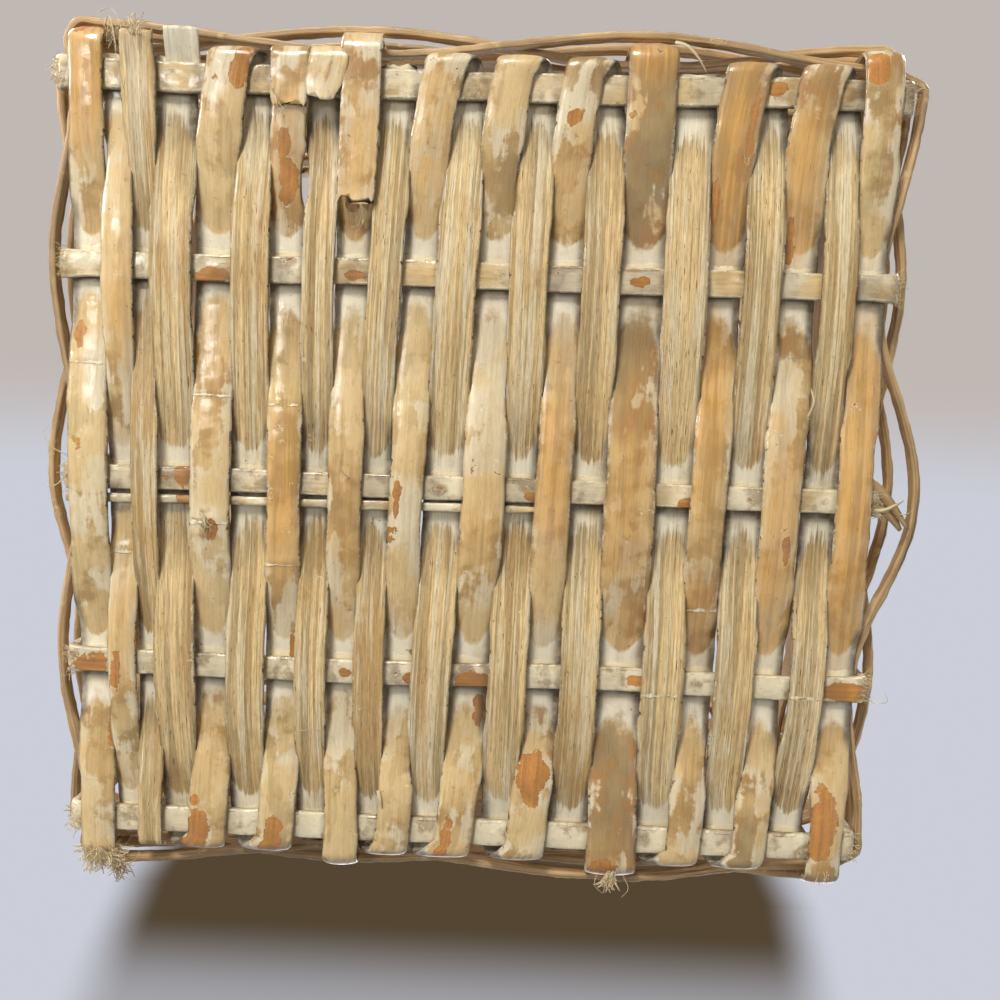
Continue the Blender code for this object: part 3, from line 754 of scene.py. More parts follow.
class Net:
    """A node tree with short words for adding its nodes and joining them."""

    def __init__(self, tree):
        self.tree = tree

    def put(self, kind, inputs=(), **settings):
        """Adds a node with its settings and, by name or number, what goes into its inputs."""
        node = self.tree.nodes.new(kind)
        count = len(self.tree.nodes)
        node.location = (220 * (count // 9), -180 * (count % 9))
        for word, value in settings.items():
            setattr(node, word, value)
        self.feed(node, inputs)
        return node

    def feed(self, node, inputs):
        for key, value in dict(inputs).items():
            self.wire(value, node.inputs[key])

    def wire(self, value, socket):
        """Joins a value to a socket, or writes a plain one on it."""
        if isinstance(value, Value):
            self.tree.links.new(value.socket, socket)
        else:
            socket.default_value = (*value, 1.0) if socket.type == "RGBA" else value

    def get(self, kind, inputs=(), output=0, **settings):
        """Adds a node as put does, and gives the value of one of its outputs."""
        return Value(self, self.put(kind, inputs, **settings).outputs[output])

    def maths(self, operation, *values, **settings):
        return self.get("ShaderNodeMath", enumerate(values), operation=operation, **settings)

    def parts(self, value, kind="XYZ"):
        return [Value(self, socket) for socket in self.put("ShaderNodeSeparate" + kind, {0: value}).outputs]

    def joined(self, *parts):
        return self.get("ShaderNodeCombineXYZ", enumerate(parts))

    def bump(self, height, strength, distance):
        return self.get("ShaderNodeBump", {"Height": height, "Strength": strength, "Distance": distance})

    def mixed(self, share, under, over):
        return self.get("ShaderNodeMixShader", {0: share, 1: under, 2: over})


class Value:
    """A node's output, which can be reckoned with like a number."""

    def __init__(self, net, socket):
        self.net, self.socket = net, socket

    def __add__(self, other):
        return self.net.maths("ADD", self, other)

    def __sub__(self, other):
        return self.net.maths("SUBTRACT", self, other)

    def __rsub__(self, other):
        return self.net.maths("SUBTRACT", other, self)

    def __mul__(self, other):
        return self.net.maths("MULTIPLY", self, other)

    def clamped(self):
        return self.net.maths("ADD", self, 0.0, use_clamp=True)

    def ramp(self, low, high, to_low=0.0, to_high=1.0):
        """A soft step of the value from one level to another."""
        levels = {"From Min": low, "From Max": high, "To Min": to_low, "To Max": to_high}
        return self.net.get("ShaderNodeMapRange", {"Value": self, **levels},
                            interpolation_type="SMOOTHSTEP")

    def blend(self, under, over, mode="MIX"):
        """Two colours, with the value as the upper one's share."""
        return self.net.get("ShaderNodeMix", {0: self, 6: under, 7: over}, output=2, data_type="RGBA",
                            blend_type=mode)


def new_tree(name, inputs, output):
    """A geometry tree with named inputs, as its net and the inputs' values by name."""
    tree = bpy.data.node_groups.new(name, "GeometryNodeTree")
    for word, kind in inputs.items():
        tree.interface.new_socket(word, in_out="INPUT", socket_type="NodeSocket" + kind)
    tree.interface.new_socket(output, in_out="OUTPUT", socket_type="NodeSocketGeometry")
    net = Net(tree)
    given = net.put("NodeGroupInput").outputs
    return net, {word: Value(net, given[word]) for word in inputs}


def end_tree(net, geometry, material):
    """Ends a tree in one plain mesh with its material."""
    whole = net.get("GeometryNodeRealizeInstances", {0: geometry})
    painted = net.get("GeometryNodeSetMaterial", {"Geometry": whole, "Material": material})
    net.put("NodeGroupOutput", {0: painted})
    return net.tree


def kept_place(net, curve, word):
    """A curve that carries each point's place along it, and that place."""
    node = net.put("GeometryNodeCaptureAttribute")
    node.capture_items.new("FLOAT", word)
    net.feed(node, {0: curve, 1: net.get("GeometryNodeSplineParameter", output="Length")})
    return Value(net, node.outputs[0]), Value(net, node.outputs[1])


def rope_tree(name):
    """A tree that lays a splint with a rounded, uneven section along a closed line."""
    sizes = dict.fromkeys(("Thickness", "Height", "Step", "Wobble", "Relief", "Seed"), "Float")
    net, given = new_tree(name, {"Line": "Geometry", **sizes, "Finish": "Material"}, "Splint")
    get, seed = net.get, given["Seed"]
    curve = get("GeometryNodeMeshToCurve", {"Mesh": given["Line"]})
    even = get("GeometryNodeResampleCurve", {"Curve": curve, "Length": given["Step"]}, mode="LENGTH")
    upright = get("GeometryNodeSetCurveNormal", {"Curve": even}, mode="Z_UP")
    curve, place_along = kept_place(net, upright, "run")

    # The section is a circle whose halves are pressed out towards a box.
    circle = get("GeometryNodeCurvePrimitiveCircle", {"Resolution": 20, "Radius": 1.0}, mode="RADIUS")
    pressed = [net.maths("SIGN", part) * net.maths("POWER", net.maths("ABSOLUTE", part), power)
               * (given[size] * 0.5) for part, size, power in
               zip(net.parts(get("GeometryNodeInputPosition")), ("Thickness", "Height"), (0.62, 0.36))]
    section = get("GeometryNodeSetPosition", {"Geometry": circle, "Position": net.joined(*pressed)})
    section, place_round = kept_place(net, section, "round")
    body = get("GeometryNodeCurveToMesh", {"Curve": curve, "Profile Curve": section, "Fill Caps": True})

    place = get("ShaderNodeVectorMath", {
        0: get("GeometryNodeInputPosition"), 1: net.joined(seed, 0.0, seed)}, operation="ADD")
    wave, grain = (get("ShaderNodeTexNoise", {"Vector": place, "Scale": scale, "Detail": detail}) - 0.5
                   for scale, detail in ((26.0, 2.0), (210.0, 3.0)))
    push = get("ShaderNodeVectorMath", {
        0: get("GeometryNodeInputNormal"), "Scale": grain * given["Relief"]}, operation="SCALE")
    shift = get("ShaderNodeVectorMath", {0: push, 1: net.joined(0.0, 0.0, wave * given["Wobble"])},
                operation="ADD")
    uneven = get("GeometryNodeSetPosition", {"Geometry": body, "Offset": shift})
    mapped = get("GeometryNodeStoreNamedAttribute", {
        "Geometry": uneven, "Name": "lay", "Value": net.joined(place_along + seed, place_round + seed)},
        data_type="FLOAT2", domain="CORNER")
    return end_tree(net, get("GeometryNodeSetShadeSmooth", {0: mapped}), given["Finish"])


def fray_tree(name):
    """A tree that grows short bent fibres out of small patches."""
    inputs = {"Patch": "Geometry", **dict.fromkeys(("Density", "Length", "Spread"), "Float"), "Seed": "Int",
              "Finish": "Material"}
    net, given = new_tree(name, inputs, "Fibres")
    get, seed, spread, length = net.get, given["Seed"], given["Spread"], given["Length"]
    roots = net.put("GeometryNodeDistributePointsOnFaces",
                    {"Mesh": given["Patch"], "Density": given["Density"], "Seed": seed}).outputs
    bend = get("GeometryNodeCurveQuadraticBezier", {
        "Resolution": 5, "Start": (0.0, 0.0, -0.15), "Middle": (0.05, 0.0, 0.60),
        "End": (0.55, 0.10, 0.85)})
    ring = get("GeometryNodeCurvePrimitiveCircle", {"Resolution": 4, "Radius": 0.026}, mode="RADIUS")
    fibre = get("GeometryNodeCurveToMesh", {"Curve": bend, "Profile Curve": ring, "Fill Caps": True})
    back = spread * -1.0
    turn = get("FunctionNodeRandomValue", {
        0: net.joined(back, back), 1: net.joined(spread, spread, 6.28), "Seed": seed},
        data_type="FLOAT_VECTOR")
    turned = get("FunctionNodeRotateRotation", {0: Value(net, roots["Rotation"]), 1: turn},
                 rotation_space="LOCAL")
    size = get("FunctionNodeRandomValue", {2: length * 0.35, 3: length, "Seed": seed}, output=1,
               data_type="FLOAT")
    grown = get("GeometryNodeInstanceOnPoints", {
        "Points": Value(net, roots["Points"]), "Rotation": turned, "Scale": size,
        "Instance": get("GeometryNodeSetShadeSmooth", {0: fibre})})
    return end_tree(net, grown, given["Finish"])


def grow(name, vertices, edges, faces, tree, **values):
    """A plain mesh made by a tree from a starting shape, with the tree's inputs set by name."""
    start = add_mesh(name + "_start", vertices, edges, faces)
    item = add_object("wicker_" + name, start)
    modifier = item.modifiers.new("grow", "NODES")
    modifier.node_group = tree
    for socket in tree.interface.items_tree:
        if socket.in_out == "INPUT" and socket.name.lower() in values:
            modifier[socket.identifier] = values[socket.name.lower()]
    item.update_tag()
    graph = bpy.context.evaluated_depsgraph_get()
    mesh = bpy.data.meshes.new_from_object(item.evaluated_get(graph), depsgraph=graph)
    if not mesh.polygons:
        raise RuntimeError("the tree %s made nothing for %s" % (tree.name, name))
    item.modifiers.clear()
    item.data = mesh
    bpy.data.meshes.remove(start)
    mesh.name = name
    return item


# Frayed ends, loose fibres and torn skin.

def fray_patch(spot):
    """A frayed place's corners, and their order in which the face looks the way its fibres point."""
    spot = np.array(spot, float)
    out = unit(spot[3:6])
    upright = abs(out[1]) < 0.6
    aside = unit(np.cross(out, (0.0, 1.0, 0.0) if upright else (1.0, 0.0, 0.0)))
    over = np.cross(out, aside)
    wide, high = (over, aside) if upright else (aside, over)
    corners = [(spot[:3] + wide * a * spot[6] + high * b * spot[7]) * MM
               for a, b in ((-1, -1), (1, -1), (1, 1), (-1, 1))]
    ahead = np.cross(corners[1] - corners[0], corners[2] - corners[0]) @ out > 0
    return corners, (0, 1, 2, 3) if ahead else (3, 2, 1, 0)


def make_frays(material):
    tree = fray_tree("frayed_fibres")
    for name, spots, density, length, spread, seed in (
            ("frayed_rod_ends", FRAYED_RODS, 1.0e6, 0.0042, 0.75, 3),
            ("frayed_strip_ends", FRAYED_STRIPS, 1.5e6, 0.0062, 0.40, 8)):
        vertices, faces = [], []
        for spot in spots:
            corners, order = fray_patch(spot)
            faces.append([len(vertices) + k for k in order])
            vertices += corners
        item = grow(name, vertices, [], faces, tree, density=density, length=length, spread=spread,
                    seed=seed, finish=material)
        settle(item, material, "lashing_splint")


def thread_points(points, count=14):
    """A smooth open line through points given in millimetres."""
    points = np.array(points, float) * MM
    knots = lengths(points)
    pull = np.gradient(points, knots, axis=0)
    t = np.linspace(0, knots[-1], count)
    index = np.clip(np.searchsorted(knots, t, side="right") - 1, 0, len(knots) - 2)
    gap = (knots[index + 1] - knots[index])[:, None]
    share = (t - knots[index])[:, None] / gap
    return pulled(share, points[index], points[index + 1], gap * pull[index], gap * pull[index + 1])


def make_threads(name, lines, radius, flatten, material):
    """Stray fibres and splinters, each a thin tapering tube."""
    angles = 2 * math.pi * np.arange(5)[:, None] / 5
    vertices, faces = [], []
    for number, points in enumerate(lines):
        path = thread_points(points)
        ahead = unit(np.gradient(path, axis=0))
        side = unit(np.cross(ahead, (0.0, 0.0, 1.0)))
        over = np.cross(side, ahead)[:, None] * flatten
        taper = 1 - 0.75 * np.linspace(0, 1, len(path)) ** 2
        size = radius * taper * (0.8 + 0.4 * ((number * 37) % 10) / 10)
        ring = size[:, None, None] * (side[:, None] * np.cos(angles) + over * np.sin(angles))
        index = 5 * len(path) * number + np.arange(5 * len(path)).reshape(-1, 5)
        turned = np.roll(index, -1, axis=1)
        quads = np.stack([index[:-1], index[1:], turned[1:], turned[:-1]], axis=-1)
        faces += quads.reshape(-1, 4).tolist() + [index[0].tolist(), index[-1][::-1].tolist()]
        vertices.append((path[:, None] + ring).reshape(-1, 3))
    mesh = add_mesh(name, np.vstack(vertices), [], faces)
    mesh.shade_smooth()
    return settle(add_object("wicker_" + name, mesh), material, "lashing_splint")


def make_flaps(material):
    """Tongues of loose skin lying on the strips, torn off at their ends, and a strip's broken fold."""
    level = rod_level() - weave_lift()
    lift = cane().strip_thickness / 2 + 0.00025
    for name, number, start, turn, half, aside, seed in (
            ("torn_skin_left", 7, -0.1105, 100, 0.0057, 0.0008, 51),
            ("torn_skin_middle", 9, -0.0830, 78, 0.0059, 0.0002, 52),
            ("broken_fold", 8, -0.1125, 170, 0.0060, 0.0, 53)):
        radius = END_BEND if number == 9 else cane().wrap_bulge
        turn_y = radius - end_wall() if number == 9 else -BASE_EDGE
        y = np.linspace(start, turn_y, int((start - turn_y) / 0.0006))
        back = start - y
        flat = np.column_stack([y, level - lift - 0.00035 * np.exp(-back / 0.0015)])
        centre = strip_line(number, y) + aside + wander(y, 0.02, 0.0003, seed)
        taper = 1 - 0.06 * np.exp(-back / 0.002)
        if name == "broken_fold":
            taper = 1 - 0.30 * np.exp(-back / 0.003)
            centre = centre - 0.0008 + 0.0030 * smooth(back / 0.014)
        run = Run()
        run.add(flat, centre, half * taper, half * taper, number, -1.0, y)
        bend = arc((turn_y, level + radius), radius + lift, radius + lift, 270, 270 - turn)
        run.add(bend, centre[-1], half, half, number, -1.0, turn_y)
        run.close()
        thick = 0.0011 if name == "broken_fold" else 0.0005
        thick = thick * (1 - 0.4 * np.exp(-lengths(run.path) / 0.002))
        item = strap(name, run.path, "yzx", run.centre, run.left, run.right, thick, seed,
                     strip_fields(run, seed), crown=0.2, relief=0.00008, ragged=(0.0013, 0.0006))
        settle(item, material, "strip_cane")

    path = line((-0.1320, 0.0016), (-0.1180, rod_level() + weave_lift()), cane().station)
    half = 0.0052 * (1 + wander(lengths(path), 0.003, 0.05, 61))
    stub = strap("strip_stub", path, "yzx", np.full(len(path), -0.0908), half, half,
                 np.full(len(path), 0.0016), 61,
                 lambda reach, across, skin: ((0.0, 0.75, 0.0, 0.0), (0.0, 0.1, 0.1, 0.0)),
                 ragged=(0.0002, 0.0))
    settle(stub, material, "strip_cane")


# The woven walls.

def posts():
    """The uprights in order from the first rod's left end along +Y, as centre, outward and half width."""
    found = []
    for way in (1, -1):
        found += [((-way * side_wall(), y), (-way, 0), ROD_HALF) for y in ROD_Y[::way]]
        found += [((strip_line(number, way * end_wall()), way * end_wall()), (0, way), strip_half(number))
                  for number in list(STAKES.values())[::way]]
    return found


def row_points(row, swell):
    """The points that a woven row goes through, on alternate sides of the uprights."""
    rng = np.random.default_rng(300 + row)
    stands = posts()
    clear = cane().weaver_thickness / 2 + 0.0006
    points = []
    for i, (centre, out, half) in enumerate(stands):
        outside = (i + row) % 2
        swing = (1 if outside else -1) * cane().row_swing * (1 + 0.10 * rng.uniform(-1, 1))
        if outside:
            swing *= swell.get(i, 1.0)
        centre, along, out = np.array(centre), np.array([out[1], -out[0]]), np.array(out, float)
        for end in (-1, 1):
            if outside and stands[(i + end) % len(stands)][1] != stands[i][1]:
                turn = [centre + end * along * (half + clear) - out * 0.0004,
                        centre + end * along * (half - 0.0006) + out * swing]
                points += turn[::-end]
            else:
                points.append(centre + end * along * 0.45 * half + out * swing)
    return np.array(points)


def smooth_loop(points, step):
    """A smooth closed line through points."""
    ahead = np.roll(points, -1, axis=0)
    gap = np.linalg.norm(ahead - points, axis=1)[:, None]
    back = np.roll(gap, 1)
    slope = (ahead - points) / gap
    pull = (back * slope + gap * np.roll(slope, 1, axis=0)) / (gap + back)
    found = []
    for here, there, pull_here, pull_there, far in zip(points, ahead, pull, np.roll(pull, -1, axis=0), gap):
        t = np.linspace(0, 1, max(2, int(far[0] / step)), endpoint=False)[:, None]
        found.append(pulled(t, here, there, far * pull_here, far * pull_there))
    return np.vstack(found)


def closed_edges(count, first=0):
    return [(first + i, first + (i + 1) % count) for i in range(count)]


def make_row(row, tree, material):
    """A woven row of one splint, or for the lowest row of three thin ones, one above another."""
    name = "weaver_row_%02d" % (row + 1)
    low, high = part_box(name)
    rng = np.random.default_rng(500 + row)
    strands = [(row, {}, 0.5)] if row else [
        (0, LOW_SWELL, 1 / 6), (1, MIDDLE_SWELL, 0.5), (0, HIGH_SWELL, 5 / 6)]
    vertices, edges = [], []
    for phase, swell, share in strands:
        flat = smooth_loop(row_points(phase, swell), 0.0015)
        turn = np.linspace(0, 2 * math.pi, len(flat))
        level = np.full(len(flat), low.z + (high.z - low.z) * share)
        for count in (5, 9, 14, 23):
            level = level + rng.uniform(0.1, 0.35) * MM * np.sin(count * turn + rng.uniform(0, 6.28))
        edges += closed_edges(len(flat), len(vertices))
        vertices += np.column_stack([flat, level]).tolist()
    item = grow(name, vertices, edges, [], tree, thickness=cane().weaver_thickness,
                height=(cane().weaver_height - 0.0004) / len(strands), step=0.0017, wobble=0.0022,
                relief=0.0011, seed=1.7 * (row + 1), finish=material)
    return settle(item, material, "weaver_splint", name)


# The rim.

def rim_loop(offset):
    """A closed line round the stakes, `offset` outside their middles, with rounded corners."""
    x, y = side_wall() - RIM_CORNER, end_wall() - RIM_CORNER
    turns = []
    for start, centre in zip((0, 90, 180, 270), ((x, y), (-x, y), (-x, -y), (x, -y))):
        angles = np.radians(np.linspace(start, start + 90, 7))
        turns.append(centre + (RIM_CORNER + offset) * np.column_stack([np.cos(angles), np.sin(angles)]))
    corners = np.vstack(turns)
    spread = []
    for here, there in zip(corners, np.roll(corners, -1, axis=0)):
        count = max(1, int(np.linalg.norm(there - here) / 0.0025))
        spread.append(here + (there - here) * np.linspace(0, 1, count, endpoint=False)[:, None])
    return np.vstack(spread)


def make_hoop(name, side, tree, material):
    low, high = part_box(name)
    flat = rim_loop(side * (HOOP_REACH - HOOP_THICKNESS / 2 - side_wall()))
    turn = np.linspace(0, 2 * math.pi, len(flat))
    level = (low.z + high.z) / 2 + 0.25 * MM * np.sin(7 * turn + side)
    item = grow(name, np.column_stack([flat, level]), closed_edges(len(flat)), [], tree,
                thickness=HOOP_THICKNESS, height=high.z - low.z, step=0.002, wobble=0.0012, relief=0.0007,
                seed=40.0 + side, finish=material)
    return settle(item, material, "rim_hoop", name)


def make_lashing(name, wall, direction, axes, places, seed, material):
    """A splint wound round both hoops along one wall, under them between the uprights."""
    turns = []
    for low, high in zip(places, places[1:]):
        count = max(1, round((high - low) / 0.020))
        turns += [low + (high - low) * (k + 0.5) / count for k in range(count)]
    low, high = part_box(name)
    bottom, centre = low.z + LASHING_THICKNESS / 2, (low.z + high.z) / 2
    reach, corner = 0.0055, 0.0016
    near, far, bend = wall - reach, wall + reach, bottom + corner
    under = np.vstack([line((near, centre), (near, bend), 0.0012),
                       arc((near + corner, bend), corner, corner, 180, 270),
                       line((near + corner, bottom), (far - corner, bottom), 0.0012),
                       arc((far - corner, bend), corner, corner, 270, 360),
                       line((far, bend), (far, centre), 0.0012)])
    over = 2 * np.array([wall, centre]) - under
    t = np.linspace(0, 1, len(under))
    path, lateral = [], []
    for k, here in enumerate(turns):
        half = (here + turns[k + 1]) / 2 if k + 1 < len(turns) else here + 0.01
        before = (here + turns[k - 1]) / 2
        slant = np.where(t < 0.5, before + (here - before) * smooth(0.5 + t),
                         here + (half - here) * smooth(t - 0.5))
        path.append(under)
        lateral.append(slant if k else np.full(len(t), here))
        if k + 1 < len(turns):
            path.append(over)
            lateral.append(np.full(len(over), half))
    path, lateral = np.vstack(path), np.concatenate(lateral)
    keep = distinct(path)
    path, lateral = path[keep], soften(lateral[keep], 4)
    along = lengths(path)
    half = LASHING_WIDTH / 2 * (1 + wander(along, 0.01, 0.08, seed) + wander(along, 0.003, 0.03, seed + 1))
    tone = 0.6 + wander(along, 0.03, 0.3, seed + 2)[:, None]

    def fields(reach, across, skin):
        return (0.15, 0.35, 0.2, 0.0), (skin, tone, 0.5 * past(np.abs(across), 0.8, 0.2), 0.0)

    order = slice(None, None, -direction)
    item = strap(name, (path * (direction, 1.0))[order], axes, lateral[order], half[order], half[order],
                 np.full(len(path), LASHING_THICKNESS), seed, fields, crown=0.2, relief=0.0001,
                 ragged=(0.001, 0.001))
    return settle(item, material, "lashing_splint", name)


# Finishes.

ROSY = (0.58, 0.30, 0.14)
OLIVE = (0.52, 0.41, 0.155)
DEEP_OLIVE = (0.29, 0.195, 0.080)
RUST = (0.46, 0.225, 0.065)
SMUDGE = (0.42, 0.35, 0.27)
THIN_DUST = (0.50, 0.38, 0.26)
CREAM_FOG = (0.96, 0.88, 0.68)
ROD_FOG = (0.88, 0.77, 0.53)


def shade(colour, amount):
    return tuple(min(1.0, part * amount) for part in colour)


def cover(colour, *coats):
    """A colour under further coats, each a share and the colour laid on."""
    for share, coat in coats:
        colour = share.blend(colour, coat)
    return colour


def new_material(name):
    material = bpy.data.materials.new(name)
    material.use_nodes = True
    net = Net(material.node_tree)
    net.tree.nodes.clear()
    surface = net.put("ShaderNodeBsdfPrincipled")
    net.put("ShaderNodeOutputMaterial", {0: Value(net, surface.outputs[0])})
    return material, net, surface


def noises(net, **wanted):
    """Noises by name, each from its scale or scales, detail, roughness and distortion.

    Two scales are spots per metre along and across the cane, on its own map. One is spots per
    metre through the piece.
    """
    lay = net.get("ShaderNodeUVMap", uv_map="lay")
    place = net.get("ShaderNodeTexCoord", output="Object")
    found = []
    for scale, detail, roughness, distortion in wanted.values():
        drawn = place
        if isinstance(scale, tuple):
            drawn = net.get("ShaderNodeVectorMath", {0: lay, 1: (*scale, 1.0)}, operation="MULTIPLY")
            scale = 1.0
        found.append(net.get("ShaderNodeTexNoise", {
            "Vector": drawn, "Scale": scale, "Detail": detail, "Roughness": roughness,
            "Distortion": distortion}))
    return found


def cane_finish(name, wash=0.5, chalk_gain=1.0, tint=1.0, smudge=0.0, grain=1.0, fog=CREAM_FOG):
    """Split cane under an old whitewash and varnish: skin on one side, fibrous pith on the other."""
    look = finish()
    straw, cream, tan, gold, bare, chalk, grime_and_shade = (
        look.straw, look.cream, look.tan, look.gold, look.bare, look.chalk, look.grime_and_shade)
    material, net, surface = new_material(name)
    parts = []
    for word in ("wear", "kind"):
        node = net.put("ShaderNodeAttribute", attribute_name=word)
        parts += net.parts(Value(net, node.outputs["Color"]), "Color") + [Value(net, node.outputs["Alpha"])]
    bare_part, chalk_part, amber_part, ridge_part, skin_part, tone_part, shade_and_dirt_part, edge_part = parts
    fine, fibre, cords, pores, band, washed, drift, streak, dust, speck, chip, mottle, patch, cloud = noises(
        net, fine=((34.0, 2900.0), 3.0, 0.6, 0.0), fibre=((12.0, 980.0), 2.5, 0.6, 0.0),
        cords=((8.0, 330.0), 2.0, 0.5, 0.0), pores=((200.0, 2300.0), 1.5, 0.5, 0.0),
        band=((3.5, 150.0), 1.0, 0.5, 0.0), washed=((20.0, 210.0), 4.0, 0.6, 0.3),
        drift=((26.0, 130.0), 3.0, 0.55, 0.3), streak=((11.0, 430.0), 3.0, 0.60, 0.0),
        dust=((170.0, 1500.0), 4.0, 0.70, 0.2), speck=(620.0, 4.0, 0.65, 0.0), chip=(360.0, 4.0, 0.65, 0.0),
        mottle=(165.0, 5.0, 0.62, 0.0), patch=(95.0, 6.0, 0.60, 0.0), cloud=(42.0, 3.0, 0.55, 0.0))
    # The same noises taken round their middle, so that they only shift what they are added to.
    fine_off, fibre_off, drift_off, streak_off, speck_off, chip_off, mottle_off, patch_off, cloud_off = (
        noise - 0.5 for noise in (fine, fibre, drift, streak, speck, chip, mottle, patch, cloud))

    # Pith: bands of pale and deeper straw with long fibres, dark pores and paint left in the grooves.
    pith = (band + (tone_part - 0.3) * -0.16).ramp(0.485, 0.515).blend(
        shade(straw, 0.86 * tint), shade(straw, 1.22 * tint))
    pith = cover(
        pith,
        (fibre.ramp(0.46, 0.35, 0.0, 0.65 * grain), shade(straw, 0.60 * tint)),
        (fibre.ramp(0.53, 0.63, 0.0, 0.65 * grain), shade(straw, 1.56 * tint)),
        (cords.ramp(0.58, 0.61, 0.0, 0.65), shade(chalk, 1.04)),
        (cords.ramp(0.42, 0.38, 0.0, 0.65), shade(tan, 0.80)),
        (fine.ramp(0.41, 0.30, 0.0, 0.72 * grain), shade(straw, 0.34 * tint)),
        ((pores + cloud_off * 0.35).ramp(0.67, 0.73, 0.0, 0.85 * grain), grime_and_shade),
        ((cloud + (tone_part - 0.3) * 0.60).ramp(0.46, 0.76, 0.0, 0.80 * grain), shade(tan, 1.02 * tint)),
        ((washed + fibre_off * 0.5).ramp(0.53, 0.63, 0.0, 0.60), chalk))

    # Skin: varnished cream to brown, rosy and olive in places, with amber stains and a pale film.
    depth = tone_part + cloud_off * 1.8 + drift_off * 1.4 + streak_off * 0.5 + mottle_off * 0.8
    stain = mottle + cloud_off * 0.9 + (tone_part - 0.35) * 0.12
    skin = cover(
        depth.clamped().blend(shade(cream, 1.05 * tint), shade(tan, tint)),
        (drift.ramp(0.52, 0.68, 0.0, 0.50), shade(ROSY, tint)),
        (drift.ramp(0.46, 0.32, 0.0, 0.55), shade(OLIVE, tint)),
        (streak.ramp(0.50, 0.68, 0.0, 0.40), shade(gold, 0.72 * tint)),
        (fibre.ramp(0.50, 0.66, 0.0, 0.20), shade(tan, 0.60)),
        (fine.ramp(0.56, 0.70, 0.0, 0.14), shade(cream, 1.2)),
        (stain.ramp(0.50, 0.68, 0.0, 0.70), shade(tan, 0.70 * tint)),
        ((tone_part + cloud_off).ramp(0.56, 1.00, 0.0, 0.75), shade(DEEP_OLIVE, tint)))
    amber = (amber_part * (cloud + patch * 0.8).ramp(0.56, 0.94, 0.60, 1.0)).clamped()
    golden = (streak + cloud_off * 0.6).ramp(0.42, 0.60).blend(shade(gold, 1.30), shade(gold, 0.88))
    rusty = drift + mottle_off * 0.6 + (tone_part - 0.4) * 0.16 + amber * -0.10
    veil = (drift + patch_off * 0.7 + (tone_part - 0.25) * -0.17).ramp(
        0.46 - 0.10 * wash, 0.54 - 0.10 * wash, 0.0, 0.85)
    veil = veil * amber.ramp(0.1, 0.8, 1.0, 0.15) * streak.ramp(0.64, 0.46, 0.75, 1.0)
    film = cloud.ramp(0.44, 0.56).blend(shade(cream, 1.14), shade(chalk, 1.04))
    skin = cover(skin, (amber * 0.9, golden), (rusty.ramp(0.53, 0.66, 0.0, 0.65), shade(RUST, tint)),
                 (veil, film))

    # Whitewash gathered in the crossings and along the edges.
    strands = (fibre_off * 1.5 + streak_off * 0.8 + fine_off * 0.5) * (skin_part * (-0.9 * grain) + grain)
    paint = chalk_part * chalk_gain + patch_off * 1.2 + skin_part * -0.07 + strands
    paint = paint.ramp(0.28, 0.70, 0.0, 0.94) * amber.ramp(0.2, 0.8, 1.0, 0.35)
    texture = mottle * skin_part + fibre * (1.0 - skin_part)
    cleared = (patch + drift_off * 0.6).ramp(0.36, 0.58, 0.45, 1.0)
    foggy = (chalk_part + fibre_off * 0.8).ramp(0.26, 0.66) * cleared
    chalky = cover(
        (texture + speck_off * 0.7).ramp(0.36, 0.62).blend(shade(chalk, 0.92), shade(chalk, 1.22)),
        (cloud.ramp(0.44, 0.60, 0.0, 0.60), shade(cream, 1.08)),
        (foggy, fog))
    crust = (edge_part + speck_off * 1.8 + patch_off * 2.6).ramp(1.02, 1.22, 0.0, 0.75)
    ridge = (ridge_part + chip_off * 1.6 + patch_off).ramp(0.40, 0.60)
    colour = cover(skin_part.blend(pith, skin), (paint, chalky), (crust, shade(chalk, 1.12)),
                   (ridge, shade(chalk, 1.24)))
    if smudge:
        colour = cover(colour, ((patch + mottle * 0.5).ramp(0.74, 0.90, 0.0, smudge), shade(tan, 0.60)),
                       ((cloud + patch_off * 0.6).ramp(0.55, 0.66, 0.0, 0.6 * smudge), SMUDGE))

    # Flakes that are off, with a pale rim here and there.
    flaking = bare_part + patch_off * 1.5 + mottle_off * 1.2 + chip_off * 0.9
    flake = flaking.ramp(0.50, 0.53) * bare_part.ramp(0.02, 0.05)
    rim = flaking.ramp(0.445, 0.49) * (1.0 - flake) * mottle.ramp(0.47, 0.56, 0.0, 0.9)
    raw = cover(
        fibre.ramp(0.35, 0.65).blend(shade(bare, 0.84), shade(bare, 1.22)),
        (mottle.ramp(0.50, 0.66, 0.0, 0.6), shade(gold, 1.05)),
        (cloud.ramp(0.46, 0.62, 0.0, 0.6), shade(bare, 0.62)))

    # Dirt in specks and as a thin dust, and the dirt part's mask, which is mostly painted shade in the
    # recesses between the canes and under the rods.
    dirt_and_shade = shade_and_dirt_part * (mottle + speck * 0.3).ramp(0.42, 0.74, 0.62, 1.0)
    thin = dust.ramp(0.36, 0.60, 0.46, 0.0) * foggy.ramp(0.2, 0.8, 1.0, 0.25) * (skin_part * -0.55 + 1.0)
    colour = cover(
        colour, (rim, shade(chalk, 1.08)), (flake, raw), (dirt_and_shade * 0.90, grime_and_shade),
        (speck.ramp(0.665, 0.72, 0.0, 0.65), grime_and_shade),
        ((edge_part + chip_off * 2.4).ramp(1.12, 1.25, 0.0, 0.90), grime_and_shade))
    colour = thin.blend(colour, THIN_DUST, "MULTIPLY")

    rough = skin_part * -0.38 + 0.76 + paint * 0.20 + speck_off * 0.35 + flake * -0.10
    height = (fine * (skin_part * -0.30 + 0.45) + fibre * (skin_part * (-0.85 * grain) + grain)
              + pores.ramp(0.69, 0.75) * -0.35 + band * (skin_part * -2.0 + 2.2)
              + cords * (skin_part * -1.3 + 1.5) + paint * (speck * 0.5 + 0.25) + ridge * 0.9 + crust * 0.4
              + flake * -0.75 + mottle * 0.20 + chip * 0.12 + dust * 0.22)
